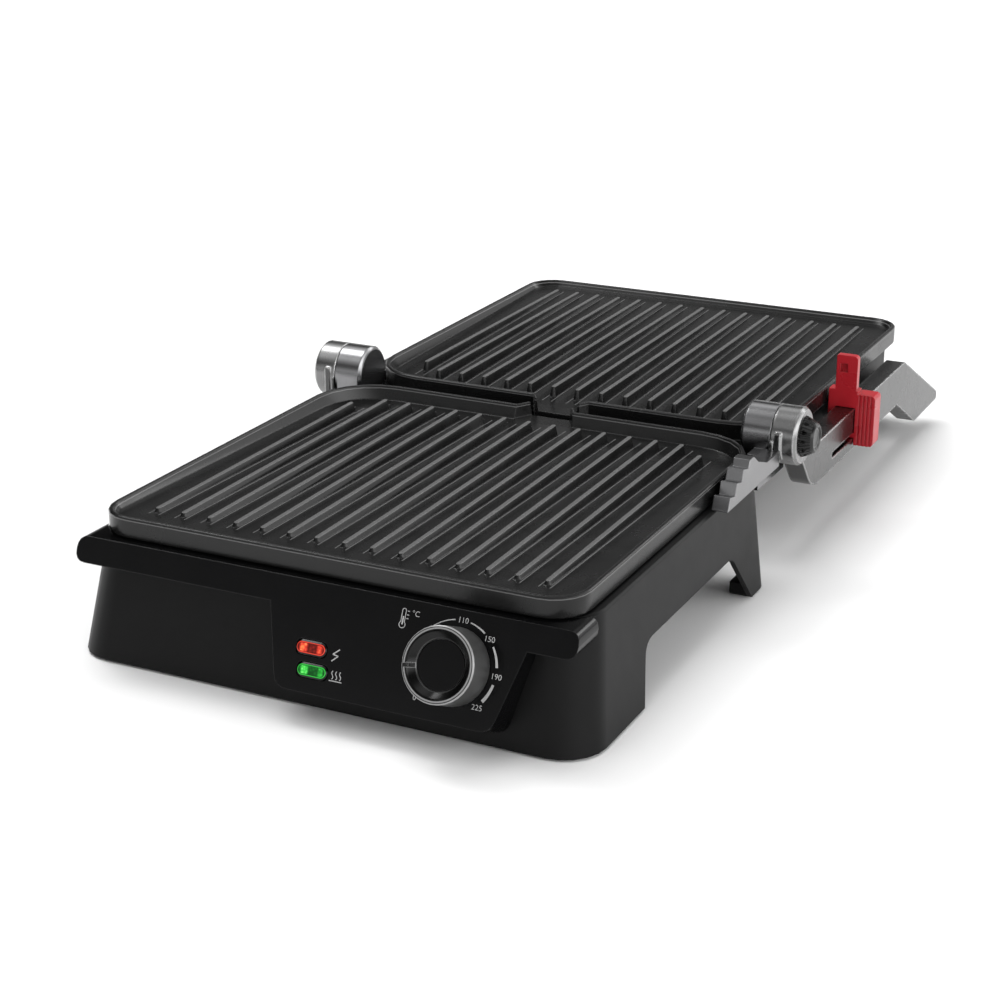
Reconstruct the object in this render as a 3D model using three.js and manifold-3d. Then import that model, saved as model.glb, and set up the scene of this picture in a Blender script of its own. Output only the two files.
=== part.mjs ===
// Countertop contact grill with its lid opened flat, in millimetres, +Z up.
// Drawing frame: x = 0 is the middle plane, y = 0 the front edge of the lower plate, z = 0 the worktop.
// The finished model is moved so that its origin is the centre of its footprint on the worktop.

import * as THREE from 'three';
import { mergeVertices } from 'three/addons/utils/BufferGeometryUtils.js';
import Module from 'manifold-3d';

const wasm = await Module();
wasm.setup();

// Clearances and drawing steps
const GAP = 0.3;
const OVERRUN = 2;
const CORNER_STEPS = 5;
const FINE_CORNER_STEPS = 2;
const CURVE_STEPS = 4;
const TURN_STEPS = 32;
const SMALL_TURN_STEPS = 12;
const FILLET_REACH_SHARE = 0.49;

// Grill plates
const PLATE_WIDTH = 290;
const PLATE_DEPTH = 278.5;
const PLATE_HEIGHT = 12.2;
const PLATE_FRONT_RADIUS = 21;
const PLATE_HINGE_RADIUS = 39;
const RIM_LAND = 2.4;
const WALL_FOOT_INSET = 5.4;
const FLOOR_DEPTH_OUTER = 3.6;
const FLOOR_DEPTH_HINGE = 8.6;
const FLOOR_THICKNESS = 3;
const RIM_EDGE_EASE = 0.7;

// Plate ribs
const RIB_COUNT = 15;
const RIB_SIDE_MARGIN = 26;
const RIB_CREST_DEPTH = 1.5;
const RIB_CREST_WIDTH = 2.4;
const RIB_FOOT_WIDTH = 6.4;
const RIB_OUTER_MARGIN = 21.5;
const RIB_HINGE_MARGIN = 22.5;
const RIB_SIDE_HINGE_MARGIN = 37;

// Grease spouts
const SPOUT_ROOT_WIDTH = 40;
const SPOUT_LIP_WIDTH = 26;
const SPOUT_REACH = 6.6;
const SPOUT_CHEEK = 2.6;
const SPOUT_FLARE = 1.6;

// Places shared by base and lid
const DECK_TOP = 71;
const FOOT_LIFT = 1.5;
const PLATE_GAP = 22.7;
const HINGE_RISE = 2.1;

// Base housing
const BASE_MARGIN = 5;
const BASE_FLARE = 8.3;
const BASE_FRONT_SETBACK = 4;
const BASE_FRONT_LEAN = 13;
const BASE_REAR_SETBACK = 21.5;
const BASE_WALL = 3;
const BASE_FRONT_RADIUS = 24;
const BASE_REAR_RADIUS = 12;
const BASE_EDGE_EASE = 1.2;
const BASE_REAR_SHOULDER_LENGTH = 20;
const BASE_REAR_SHOULDER_DROP = 18;
const REAR_LEG_RETURN = 14;
const REAR_SHELF_DEPTH = 15;
const REAR_SHELF_HEIGHT = 20;

// Side arches
const ARCH_FRONT = 63;
const ARCH_REAR_MARGIN = 27;
const ARCH_HEIGHT = 34;
const ARCH_FRONT_SLOPE = 9;
const ARCH_REAR_SLOPE = 27;
const ARCH_RADIUS = 12;

// Deck opening, rebate and reflector pans
const PAN_MARGIN = 17;
const PAN_RADIUS = 20;
const PAN_FLANGE = 4;
const PAN_SHEET = 1;
const PAN_DEPTH = 15;
const PAN_FLANGE_DROP = 1.2;

// Heating elements
const HEATER_RADIUS = 3.25;
const HEATER_SPREAD = 80;
const HEATER_LEG_GAP = 34;
const HEATER_END_MARGIN = 44;
const HEATER_STEPS = 32;
const HEATER_SIDES = 6;

// Bottom cover, its screws and posts
const COVER_SHEET = 2.5;
const POST_RADIUS = 5;
const POST_INSET = 15;
const POST_SPREAD = 88;
const SCREW_RADIUS = 1.5;
const SCREW_HEAD_RADIUS = 3.2;
const SCREW_HEAD_HEIGHT = 1.8;
const SCREW_HEAD_EDGE_SHARE = 0.8;
const SCREW_LENGTH = 12;

// Drip tray and its rails
const TRAY_HALF_WIDTH = 96;
const TRAY_LENGTH = 168;
const TRAY_DEPTH = 20;
const TRAY_WALL = 1.6;
const TRAY_FLANGE = 6;
const TRAY_FLANGE_THICKNESS = 1.8;
const TRAY_DRAFT = 4;
const TRAY_RADIUS = 12;
const TRAY_OVERHANG = 28;
const TRAY_GRIP_WIDTH = 60;
const TRAY_GRIP_REACH = 10;
const RAIL_HEIGHT = 11;
const RAIL_THICKNESS = 2.2;
const RAIL_FRONT_MARGIN = 20;

// Front fascia, leaning back from its foot
const FASCIA_LEAN = 25;
const FASCIA_TOP_OVERHANG = 5.5;
const LIP_MARGIN = 6;
const LIP_HEIGHT = 14.7;
const LIP_RADIUS = 7;
const POD_SIDE_MARGIN = 95;
const POD_TOP_HALF_WIDTH = 74.5;
const POD_BOTTOM_HALF_WIDTH = 62.5;
const POD_HEIGHT = 43.5;
const POD_RADIUS = 9;
const POD_THROAT_RADIUS = 4;
const FASCIA_WALL = 2.6;
const FASCIA_DEPTH = 34;

// Thermostat and its knob
const KNOB_OFFSET = 36.6;
const KNOB_DROP = 29;
const KNOB_RADIUS = 19.9;
const KNOB_SKIRT_RADIUS = 20.3;
const KNOB_HEIGHT = 19.5;
const KNOB_RING = 2.4;
const KNOB_DISH_DEPTH = 4.4;
const KNOB_DISC_RADIUS = 13;
const KNOB_DISC_THICKNESS = 1;
const KNOB_POINTER_WIDTH = 2;
const KNOB_POINTER_ANGLE = 190;
const KNOB_PAINT_GAP = 0.6;
const SHAFT_RADIUS = 3;
const SHAFT_DEPTH_IN_KNOB = 11;
const THERMOSTAT_RADIUS = 17;
const THERMOSTAT_LENGTH = 24;

// Indicator lenses
const LENS_LENGTH = 18.4;
const LENS_HEIGHT = 8;
const LENS_DEPTH = 7;
const LENS_CROWN = 0.9;
const LENS_EDGE = 1.1;
const RED_LENS_OFFSET = 45;
const RED_LENS_DROP = 34.8;
const GREEN_LENS_OFFSET = 42.2;
const GREEN_LENS_DROP = 46.2;

// Feet
const FRONT_FOOT_RADIUS = 9;
const FRONT_FOOT_INSET = 13;
const FRONT_FOOT_Y = 18;
const REAR_FOOT_LENGTH = 20;
const REAR_FOOT_WIDTH = 8;
const LEG_SOLE_HEIGHT = 8;
const FOOT_STUD_RADIUS = 2.4;
const REAR_FOOT_SETBACK = 13;

// Hinge barrels, brackets and pins
const BARREL_RADIUS = 18.1;
const BARREL_SEAM_MARGIN = 6;
const BASE_BARREL_LENGTH = 19.3;
const ARM_BARREL_LENGTH = 16;
const BARREL_CHAMFER = 1.8;
const PEDESTAL_INSET = 1.8;
const BRACKET_FOOT_HEIGHT = 13;
const BRACKET_FOOT_LENGTH = 70;
const BRACKET_FOOT_SETBACK = 4.4;
const PIN_RADIUS = 5;
const PIN_END_MARGIN = 4.5;
const STOP_LUG_PROUD = 1.2;
const STOP_LUG_WIDTH = 2.2;
const STOP_LUG_DROP = 10;
const STOP_RIB_INSET = 3;
const STOP_RIB_WIDTH = 3.6;
const STOP_RIB_RISE = 6;
const STOP_RIB_DROP = 12;

// Stepped height rest on the right bracket
const STEP_INNER_SETBACK = 3;
const STEP_WIDTH = 10;
const STEP_FIRST_SETBACK = 108;
const STEP_RISES = [6, 7.2, 6.9, 4.4];
const STEP_TREAD = 10.4;
const STEP_TILT = 1.9;
const STEP_RISER_SLANT = 2.4;
const STEP_BASE_RISE = 2;
const STEP_CROWN_LENGTH = 7;
const STEP_POCKET_DEPTH = 11;
const STEP_POCKET_LENGTH = 24;
const STEP_WEB_WIDTH = 8;
const STEP_WEB_LENGTH = 13;

// Lid arms
const ARM_SETBACK = 1;
const ARM_THICKNESS = 13;
const ARM_DROP = 12.7;
const ARM_BAR_HEIGHT = 27.3;
const ARM_HEEL = 26;
const ARM_HEEL_RADIUS = 24;
const ARM_BEND_BEFORE_END = 60;
const ARM_THROAT_BEFORE_END = 74;
const ARM_TOE_BEYOND_END = 37.3;
const ARM_TOE_LENGTH = 60;
const ARM_TOE_DROP = 54.3;
const ARM_TOE_NOSE = 6;
const ARM_TOE_RADIUS = 6;
const SLOT_HEIGHT = 4;
const SLOT_DROP = 18.3;
const SLOT_START = 66;
const SLOT_LENGTH = 80;
const SLOT_DEPTH = 7;

// Lid housing and its pivots
const LID_INSET = 5;
const LID_DEPTH = 29.5;
const LID_WALL = 3;
const LID_CROWN_INSET = 14;
const LID_CROWN_DEPTH = 12;
const LID_CROWN_SHARES = [[1, 0], [0.55, 0.12], [0.22, 0.38], [0.05, 0.7]];
const PIVOT_REACH = 165;
const PIVOT_DROP = 31;
const PIVOT_RADIUS = 3.5;
const PIVOT_BOSS_RADIUS = 7;
const PIVOT_DEPTH_IN_ARM = 8;

// Handle
const GRIP_DEPTH = 44;
const GRIP_THICKNESS = 17;
const GRIP_END_RISE = 0.6;
const GRIP_BOW = 12;
const GRIP_TOE_SETBACK = 8;
const GRIP_STATIONS = 12;
const GRIP_EDGE_RADIUS = 6.8;
const REST_PAD_X = 50;
const REST_PAD_LENGTH = 24;
const REST_PAD_WIDTH = 12;
const HANDLE_SCREW_RADIUS = 2;
const HANDLE_SCREW_DEPTH = 12;
const HANDLE_SCREW_DEPTH_IN_ARM = 8;

// Height slider
const SLIDER_REACH = 110.8;
const SLIDER_TAB_WIDTH = 14.1;
const SLIDER_TAB_THICKNESS = 5;
const SLIDER_TAB_OVERHANG = 0.7;
const SLIDER_TAB_RADIUS = 3;
const SLIDER_TAB_RISE = 22.5;
const SLIDER_BRIDGE_LENGTH = 9;
const SLIDER_BRIDGE_HEIGHT = 12;
const SLIDER_LEG_THICKNESS = 4.6;
const SLIDER_LEG_DROP = 23;
const SLIDER_BLOCK_WIDTH = 13;
const SLIDER_BLOCK_HEIGHT = 34.5;
const SLIDER_BLOCK_DROP = 3;
const SLIDER_BLOCK_LENGTH = 13;
const SLIDER_BLOCK_RADIUS = 3;
const SLIDER_GROOVE_COUNT = 4;
const SLIDER_GROOVE_WIDTH = 1;
const SLIDER_KEY_DEPTH = 5;
const SLIDER_WINDOW_WIDTH = 5;
const SLIDER_WINDOW_HEIGHT = 5.8;
const SLIDER_WINDOW_DEPTH = 2.6;
const SLIDER_WINDOW_DROP = 5.6;
const SLIDER_WINDOW_INSET = 2.5;

// Release button on the right hub
const BUTTON_RADIUS = 12.2;
const BUTTON_FACE_RADIUS = 8.2;
const BUTTON_PROUD = 7.8;
const BUTTON_SHOULDER = 1;
const BUTTON_DEPTH = 4;
const BUTTON_TRAVEL_ROOM = 5;
const BUTTON_FLUTES = 12;
const BUTTON_FLUTE_RADIUS = 1.7;
const HUB_CAP_THICKNESS = 1.6;

// Cord gland and terminal block
const GLAND_X = 70;
const GLAND_DROP = 26.4;
const GLAND_RADIUS = 6.1;
const GLAND_NECK_RADIUS = 5;
const GLAND_NOSE_RADIUS = 4.4;
const GLAND_LENGTH = 14;
const GLAND_FLANGE = 2;
const GLAND_BORE = 3;
const TERMINAL_X = -70;
const TERMINAL_WIDTH = 40;
const TERMINAL_DEPTH = 18;
const TERMINAL_HEIGHT = 16;

// Places worked out from the sizes above
const RIM_TOP = DECK_TOP + GAP + PLATE_HEIGHT;
const HINGE_Y = PLATE_DEPTH + PLATE_GAP / 2;
const HINGE_Z = RIM_TOP + HINGE_RISE;
const LID_END = 2 * HINGE_Y;
const PLATE_HALF = PLATE_WIDTH / 2;
const RIB_PITCH = 2 * (PLATE_HALF - RIB_SIDE_MARGIN) / (RIB_COUNT - 1);
const LIP_HALF_WIDTH = PLATE_HALF + LIP_MARGIN;
const POD_CENTRE = PLATE_HALF - POD_SIDE_MARGIN;
const KNOB_X = POD_CENTRE + KNOB_OFFSET;
const RED_LENS_X = POD_CENTRE - RED_LENS_OFFSET;
const GREEN_LENS_X = POD_CENTRE - GREEN_LENS_OFFSET;
const FRONT_FOOT_X = PLATE_HALF - FRONT_FOOT_INSET;
const BARREL_SEAM_X = PLATE_HALF + BARREL_SEAM_MARGIN;
const BARREL_INNER_X = BARREL_SEAM_X - BASE_BARREL_LENGTH;
const BARREL_OUTER_X = BARREL_SEAM_X + ARM_BARREL_LENGTH;
const BRACKET_FOOT_OUTER = BARREL_SEAM_X - BRACKET_FOOT_SETBACK;
const STEP_INNER_X = BARREL_SEAM_X - STEP_INNER_SETBACK;
const ARM_INNER_X = BARREL_SEAM_X + ARM_SETBACK;
const ARM_OUTER_X = ARM_INNER_X + ARM_THICKNESS;
const BASE_HALF = PLATE_HALF + BASE_MARGIN;
const BASE_REAR = PLATE_DEPTH - BASE_REAR_SETBACK;
const BASE_TALL = DECK_TOP - FOOT_LIFT;
const ARCH_REAR = BASE_REAR - ARCH_REAR_MARGIN;
const COVER_TOP = FOOT_LIFT + ARCH_HEIGHT + COVER_SHEET;
const FACE_ANGLE = THREE.MathUtils.degToRad(FASCIA_LEAN);
const FACE_FRAME = new THREE.Matrix4().makeRotationX(Math.PI / 2 - FACE_ANGLE);
FACE_FRAME.setPosition(0, -FASCIA_TOP_OVERHANG, DECK_TOP);

// Geometry helpers

// Closed body for joining and cutting, from any closed three.js geometry
function solid(geometry) {
  const bare = geometry.clone();
  for (const name of Object.keys(bare.attributes)) {
    if (name !== 'position') bare.deleteAttribute(name);
  }
  const merged = mergeVertices(bare);
  const corners = merged.index.array;
  const kept = [];
  for (let i = 0; i < corners.length; i += 3) {
    const [a, b, c] = corners.slice(i, i + 3);
    if (a !== b && b !== c && c !== a) kept.push(a, b, c);
  }
  const vertProperties = merged.attributes.position.array;
  const triVerts = Uint32Array.from(kept);
  return new wasm.Manifold(new wasm.Mesh({ numProp: 3, vertProperties, triVerts }));
}

// Flat-shaded geometry of a finished body
function surface(body) {
  const mesh = body.getMesh();
  const geometry = new THREE.BufferGeometry();
  geometry.setAttribute('position', new THREE.BufferAttribute(mesh.vertProperties, 3));
  geometry.setIndex(new THREE.BufferAttribute(mesh.triVerts, 1));
  const flat = geometry.toNonIndexed();
  flat.computeVertexNormals();
  return flat;
}

// The same body seen in a mirror standing on the middle plane
function mirrored(body) {
  const geometry = surface(body);
  geometry.scale(-1, 1, 1);
  const position = geometry.attributes.position;
  for (let i = 0; i < position.count; i += 3) {
    const second = new THREE.Vector3().fromBufferAttribute(position, i + 1);
    const third = new THREE.Vector3().fromBufferAttribute(position, i + 2);
    position.setXYZ(i + 1, third.x, third.y, third.z);
    position.setXYZ(i + 2, second.x, second.y, second.z);
  }
  return solid(geometry);
}

function joined(...bodies) {
  return bodies.reduce((whole, body) => whole.add(body));
}

// Outline through corners, each [across, up, radius], with the radius kept within its two sides
function outline(corners) {
  const shape = new THREE.Shape();
  const points = corners.map(([u, v]) => new THREE.Vector2(u, v));
  const count = points.length;
  points.forEach((corner, index) => {
    const radius = corners[index][2] ?? 0;
    const before = points[(index + count - 1) % count].clone().sub(corner);
    const after = points[(index + 1) % count].clone().sub(corner);
    const halfTurn = Math.abs(before.angleTo(after)) / 2;
    const longest = Math.min(before.length(), after.length()) * FILLET_REACH_SHARE;
    const reach = Math.min(radius / Math.tan(halfTurn), longest);
    const enter = before.setLength(reach).add(corner);
    const leave = after.setLength(reach).add(corner);
    if (index === 0) shape.moveTo(enter.x, enter.y);
    else shape.lineTo(enter.x, enter.y);
    if (reach > 0) shape.quadraticCurveTo(corner.x, corner.y, leave.x, leave.y);
  });
  shape.closePath();
  return shape;
}

function rectangle(left, bottom, right, top, radius = 0) {
  const corners = [[left, bottom], [right, bottom], [right, top], [left, top]];
  return outline(corners.map(([u, v]) => [u, v, radius]));
}

function extruded(shape, depth, matrix) {
  const options = { depth, bevelEnabled: false, curveSegments: CURVE_STEPS };
  return solid(new THREE.ExtrudeGeometry(shape, options).applyMatrix4(matrix));
}

const AXIS_X = new THREE.Vector3(1, 0, 0);
const AXIS_Y = new THREE.Vector3(0, 1, 0);
const AXIS_Z = new THREE.Vector3(0, 0, 1);

// Prism between two x planes, its outline drawn as (y, z)
function alongX(shape, from, to) {
  const frame = new THREE.Matrix4().makeBasis(AXIS_Y, AXIS_Z, AXIS_X).setPosition(from, 0, 0);
  return extruded(shape, to - from, frame);
}

// Prism between two y planes, its outline drawn as (x, z)
function alongY(shape, from, to) {
  const frame = new THREE.Matrix4().makeBasis(AXIS_X, AXIS_Z, AXIS_Y.clone().negate());
  return extruded(shape, to - from, frame.setPosition(0, to, 0));
}

// Prism between two z planes, its outline drawn as (x, y)
function alongZ(shape, from, to) {
  return extruded(shape, to - from, new THREE.Matrix4().setPosition(0, 0, from));
}

// Prism standing on the leaning fascia plane, its outline drawn across and up that plane
function alongFace(shape, from, to) {
  const frame = FACE_FRAME.clone().multiply(new THREE.Matrix4().makeTranslation(0, 0, from));
  return extruded(shape, to - from, frame);
}

function block(low, high) {
  return alongZ(rectangle(low[0], low[1], high[0], high[1]), low[2], high[2]);
}

// Turned body, its profile a list of [radius, height] that starts and ends on the axis
function turned(profile, steps = TURN_STEPS) {
  const points = profile.map(([radius, height]) => new THREE.Vector2(radius, height));
  return new THREE.LatheGeometry(points, steps);
}

function turnedX(profile, y, z, steps) {
  const frame = new THREE.Matrix4().makeBasis(AXIS_Y, AXIS_X, AXIS_Z.clone().negate()).setPosition(0, y, z);
  return solid(turned(profile, steps).applyMatrix4(frame));
}

function turnedY(profile, x, z, steps) {
  return solid(turned(profile, steps).translate(x, 0, z));
}

function turnedZ(profile, x, y, steps) {
  return solid(turned(profile, steps).rotateX(Math.PI / 2).translate(x, y, 0));
}

// Plain round rod as a profile for the turned bodies
function rod(radius, from, to) {
  return [[0, from], [radius, from], [radius, to], [0, to]];
}

// Corner-rounded ring of points, counter-clockwise from above; height is a number or a function of y
function ring(half, front, back, frontRadius, backRadius, height, steps = CORNER_STEPS) {
  const points = [];
  const corners = [
    [half - frontRadius, front + frontRadius, frontRadius, -1],
    [half - backRadius, back - backRadius, backRadius, 0],
    [backRadius - half, back - backRadius, backRadius, 1],
    [frontRadius - half, front + frontRadius, frontRadius, 2],
  ];
  for (const [x, y, radius, quarter] of corners) {
    for (let step = 0; step <= steps; step += 1) {
      const angle = (quarter + step / steps) * Math.PI / 2;
      const py = y + radius * Math.sin(angle);
      const pz = typeof height === 'function' ? height(py) : height;
      points.push(new THREE.Vector3(x + radius * Math.cos(angle), py, pz));
    }
  }
  return points;
}

// Closed surface through rings of equal point counts, listed upwards
function loft(rings, frame = new THREE.Matrix4()) {
  const count = rings[0].length;
  const positions = rings.flat().flatMap((point) => [point.x, point.y, point.z]);
  const indices = [];
  for (let level = 0; level + 1 < rings.length; level += 1) {
    for (let i = 0; i < count; i += 1) {
      const a = level * count + i;
      const b = level * count + (i + 1) % count;
      indices.push(a, b, b + count, a, b + count, a + count);
    }
  }
  const top = (rings.length - 1) * count;
  const cap = (points) => {
    return THREE.ShapeUtils.triangulateShape(points.map(({ x, y }) => new THREE.Vector2(x, y)), []);
  };
  for (const [a, b, c] of cap(rings[0])) indices.push(c, b, a);
  for (const [a, b, c] of cap(rings.at(-1))) indices.push(top + a, top + b, top + c);
  const geometry = new THREE.BufferGeometry();
  geometry.setAttribute('position', new THREE.Float32BufferAttribute(positions, 3));
  geometry.setIndex(indices);
  return solid(geometry.applyMatrix4(frame));
}

// Round tube along a curve
function tube(curve, radius, sides, steps) {
  const section = new THREE.Shape().absarc(0, 0, radius, 0, 2 * Math.PI);
  return solid(new THREE.ExtrudeGeometry(section, { steps, curveSegments: sides / 2, extrudePath: curve }));
}

// Materials, one new material for each mesh
function finish(color, roughness, metalness) {
  return () => new THREE.MeshStandardMaterial({ color, roughness, metalness });
}

const blackPlastic = finish(0x1c1c1d, 0.45, 0);
const glossBlack = finish(0x0e0e10, 0.12, 0);
const nonStick = finish(0x2b2b2c, 0.5, 0.3);
const castMetal = finish(0xa8a9aa, 0.32, 0.9);
const barrelMetal = finish(0xc4c5c7, 0.22, 0.95);
const steel = finish(0x9a9b9d, 0.35, 0.9);
const reflectorMetal = finish(0xb4b5b6, 0.3, 0.9);
const rubber = finish(0x151515, 0.85, 0);
const redPlastic = finish(0xa8202a, 0.35, 0);
const knobGrey = finish(0x56575a, 0.35, 0.4);
const redLens = finish(0xd8301c, 0.2, 0);
const greenLens = finish(0x1fae3a, 0.2, 0);
const heaterSteel = finish(0x5d5854, 0.5, 0.7);
const paleThermoplastic = finish(0xd9d5c8, 0.6, 0);

function piece(name, body, material) {
  const mesh = new THREE.Mesh(surface(body), material());
  mesh.name = name;
  return mesh;
}

// Grill plate, drawn with z = 0 on its rim and its outer edge at y = 0
function plateFloor(y) {
  const share = (y - WALL_FOOT_INSET) / (PLATE_DEPTH - 2 * WALL_FOOT_INSET);
  return -THREE.MathUtils.lerp(FLOOR_DEPTH_OUTER, FLOOR_DEPTH_HINGE, share);
}

function plateRing(inset, height) {
  const outerRadius = PLATE_FRONT_RADIUS - inset;
  const hingeRadius = PLATE_HINGE_RADIUS - inset;
  return ring(PLATE_HALF - inset, inset, PLATE_DEPTH - inset, outerRadius, hingeRadius, height);
}

function rib(x, from, to) {
  const crest = -RIB_CREST_DEPTH;
  const root = (y) => plateFloor(y) - FLOOR_THICKNESS / 2;
  const stadium = (width, inset, height) => {
    return ring(width / 2, from + inset, to - inset, width / 2, width / 2, height, FINE_CORNER_STEPS);
  };
  const ease = (RIB_FOOT_WIDTH - RIB_CREST_WIDTH) / 2;
  const place = new THREE.Matrix4().makeTranslation(x, 0, 0);
  return loft([stadium(RIB_FOOT_WIDTH, 0, root), stadium(RIB_CREST_WIDTH, ease, crest)], place);
}

function ribs() {
  const bodies = [];
  const last = (RIB_COUNT - 1) / 2;
  for (let index = -last; index <= last; index += 1) {
    const margin = Math.abs(index) === last ? RIB_SIDE_HINGE_MARGIN : RIB_HINGE_MARGIN;
    bodies.push(rib(index * RIB_PITCH, RIB_OUTER_MARGIN, PLATE_DEPTH - margin));
  }
  return joined(...bodies);
}

function trapezoid(rootHalf, lipHalf, root, lip, height) {
  const corners = [[rootHalf, root], [lipHalf, lip], [-lipHalf, lip], [-rootHalf, root]];
  return corners.map(([x, y]) => new THREE.Vector3(x, y, height));
}

// Pouring lip with cheeks, and the channel that runs through it
function spout() {
  const root = PLATE_DEPTH - WALL_FOOT_INSET;
  const lip = PLATE_DEPTH + SPOUT_REACH;
  const rootHalf = SPOUT_ROOT_WIDTH / 2;
  const lipHalf = SPOUT_LIP_WIDTH / 2;
  const floor = plateFloor(root);
  const tongue = loft([
    trapezoid(rootHalf + SPOUT_CHEEK, lipHalf + SPOUT_CHEEK, root, lip, -PLATE_HEIGHT),
    trapezoid(rootHalf + SPOUT_CHEEK, lipHalf + SPOUT_CHEEK, root, lip, 0),
  ]);
  const start = root - OVERRUN;
  const end = lip + OVERRUN;
  const extra = OVERRUN * (rootHalf - lipHalf) / (lip - root);
  const channel = loft([
    trapezoid(rootHalf + extra, lipHalf - extra, start, end, floor),
    trapezoid(rootHalf + extra + SPOUT_FLARE, lipHalf - extra + SPOUT_FLARE, start, end, OVERRUN),
  ]);
  return { tongue, channel };
}

function grillPlate() {
  const body = loft([
    plateRing(RIM_EDGE_EASE, -PLATE_HEIGHT),
    plateRing(0, -PLATE_HEIGHT + RIM_EDGE_EASE),
    plateRing(0, -RIM_EDGE_EASE),
    plateRing(RIM_EDGE_EASE, 0),
  ]);
  const slant = (WALL_FOOT_INSET - RIM_LAND) / FLOOR_DEPTH_HINGE;
  const basin = loft([
    plateRing(WALL_FOOT_INSET, plateFloor),
    plateRing(RIM_LAND, 0),
    plateRing(RIM_LAND - slant * OVERRUN, OVERRUN),
  ]);
  const under = (y) => plateFloor(y) - FLOOR_THICKNESS;
  const hollow = loft([
    plateRing(WALL_FOOT_INSET, -PLATE_HEIGHT - OVERRUN),
    plateRing(WALL_FOOT_INSET, under),
  ]);
  const { tongue, channel } = spout();
  return body.add(tongue).subtract(basin).subtract(channel).subtract(hollow).add(ribs());
}

// Reflector pan under a plate, drawn with z = 0 at the top of its flange
function panRing(inset, height) {
  const margin = PAN_MARGIN + inset;
  const radius = PAN_RADIUS - inset / 2;
  return ring(PLATE_HALF - margin, margin, PLATE_DEPTH - margin, radius, radius, height);
}

function reflectorPan() {
  const bottom = -PAN_DEPTH;
  const outer = loft([
    panRing(PAN_FLANGE + OVERRUN, bottom),
    panRing(PAN_FLANGE, -PAN_SHEET),
    panRing(PAN_FLANGE, 0),
  ]);
  const flange = loft([panRing(GAP, -PAN_SHEET), panRing(GAP, 0)]);
  const inside = loft([
    panRing(PAN_FLANGE + OVERRUN + PAN_SHEET, bottom + PAN_SHEET),
    panRing(PAN_FLANGE + PAN_SHEET, OVERRUN),
  ]);
  return outer.add(flange).subtract(inside);
}

// Hole and rebate in a deck of given height and wall, in which a reflector pan sits
function panSeat(top, wall) {
  const hole = loft([
    panRing(PAN_FLANGE - GAP, top - wall - OVERRUN),
    panRing(PAN_FLANGE - GAP, top + OVERRUN),
  ]);
  const rebate = loft([
    panRing(0, top - PAN_FLANGE_DROP - GAP),
    panRing(0, top + OVERRUN),
  ]);
  return hole.add(rebate);
}

// Bent heater rod that follows the sloped underside of a plate, drawn with z = 0 on the plate's rim
function heatingElement() {
  const back = PLATE_DEPTH - HEATER_END_MARGIN;
  const front = HEATER_END_MARGIN;
  const wide = HEATER_SPREAD;
  const turn = HEATER_LEG_GAP / 2;
  const path = new THREE.CurvePath();
  const seat = FLOOR_THICKNESS + GAP + HEATER_RADIUS;
  const point = (x, y) => new THREE.Vector3(x, y, plateFloor(y) - seat);
  const straight = (x0, y0, x1, y1) => path.add(new THREE.LineCurve3(point(x0, y0), point(x1, y1)));
  const bend = (x0, y0, cx, cy, x1, y1) => {
    path.add(new THREE.QuadraticBezierCurve3(point(x0, y0), point(cx, cy), point(x1, y1)));
  };
  straight(-turn, back, -turn, back - turn * 2);
  bend(-turn, back - turn * 2, -turn, back - turn * 3, -turn * 2, back - turn * 3);
  straight(-turn * 2, back - turn * 3, -wide + turn, back - turn * 3);
  bend(-wide + turn, back - turn * 3, -wide, back - turn * 3, -wide, back - turn * 4);
  straight(-wide, back - turn * 4, -wide, front + turn);
  bend(-wide, front + turn, -wide, front, -wide + turn, front);
  straight(-wide + turn, front, wide - turn, front);
  bend(wide - turn, front, wide, front, wide, front + turn);
  straight(wide, front + turn, wide, back - turn * 4);
  bend(wide, back - turn * 4, wide, back - turn * 3, wide - turn, back - turn * 3);
  straight(wide - turn, back - turn * 3, turn * 2, back - turn * 3);
  bend(turn * 2, back - turn * 3, turn, back - turn * 3, turn, back - turn * 2);
  straight(turn, back - turn * 2, turn, back);
  return tube(path, HEATER_RADIUS, HEATER_SIDES, HEATER_STEPS);
}

// Base housing

// Outside of the housing, pushed out or in; it leans at the front and flares to the sides
function housingRing(height, inset) {
  const fall = DECK_TOP - height;
  const half = BASE_HALF + BASE_FLARE * fall / BASE_TALL - inset;
  const front = BASE_FRONT_SETBACK - fall * Math.tan(THREE.MathUtils.degToRad(BASE_FRONT_LEAN)) + inset;
  return ring(half, front, BASE_REAR - inset, BASE_FRONT_RADIUS - inset, BASE_REAR_RADIUS - inset, height);
}

function housingBlock(inset, bottom, top) {
  return loft([housingRing(bottom, inset), housingRing(top, inset)]);
}

function archShape(grow = 0) {
  const low = FOOT_LIFT - OVERRUN;
  const top = FOOT_LIFT + ARCH_HEIGHT + grow;
  const front = ARCH_FRONT - grow;
  const rear = ARCH_REAR + grow;
  const footShare = OVERRUN / ARCH_HEIGHT;
  return outline([
    [front - ARCH_FRONT_SLOPE * footShare, low],
    [rear + ARCH_REAR_SLOPE * footShare, low],
    [rear - ARCH_REAR_SLOPE, top, ARCH_RADIUS],
    [front + ARCH_FRONT_SLOPE, top, ARCH_RADIUS],
  ]);
}

function postPlaces() {
  const x = BASE_HALF - POST_INSET;
  const middle = (ARCH_FRONT + ARCH_REAR) / 2;
  const front = middle - POST_SPREAD / 2;
  const back = middle + POST_SPREAD / 2;
  return [[-x, front], [x, front], [-x, back], [x, back]];
}

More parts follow.
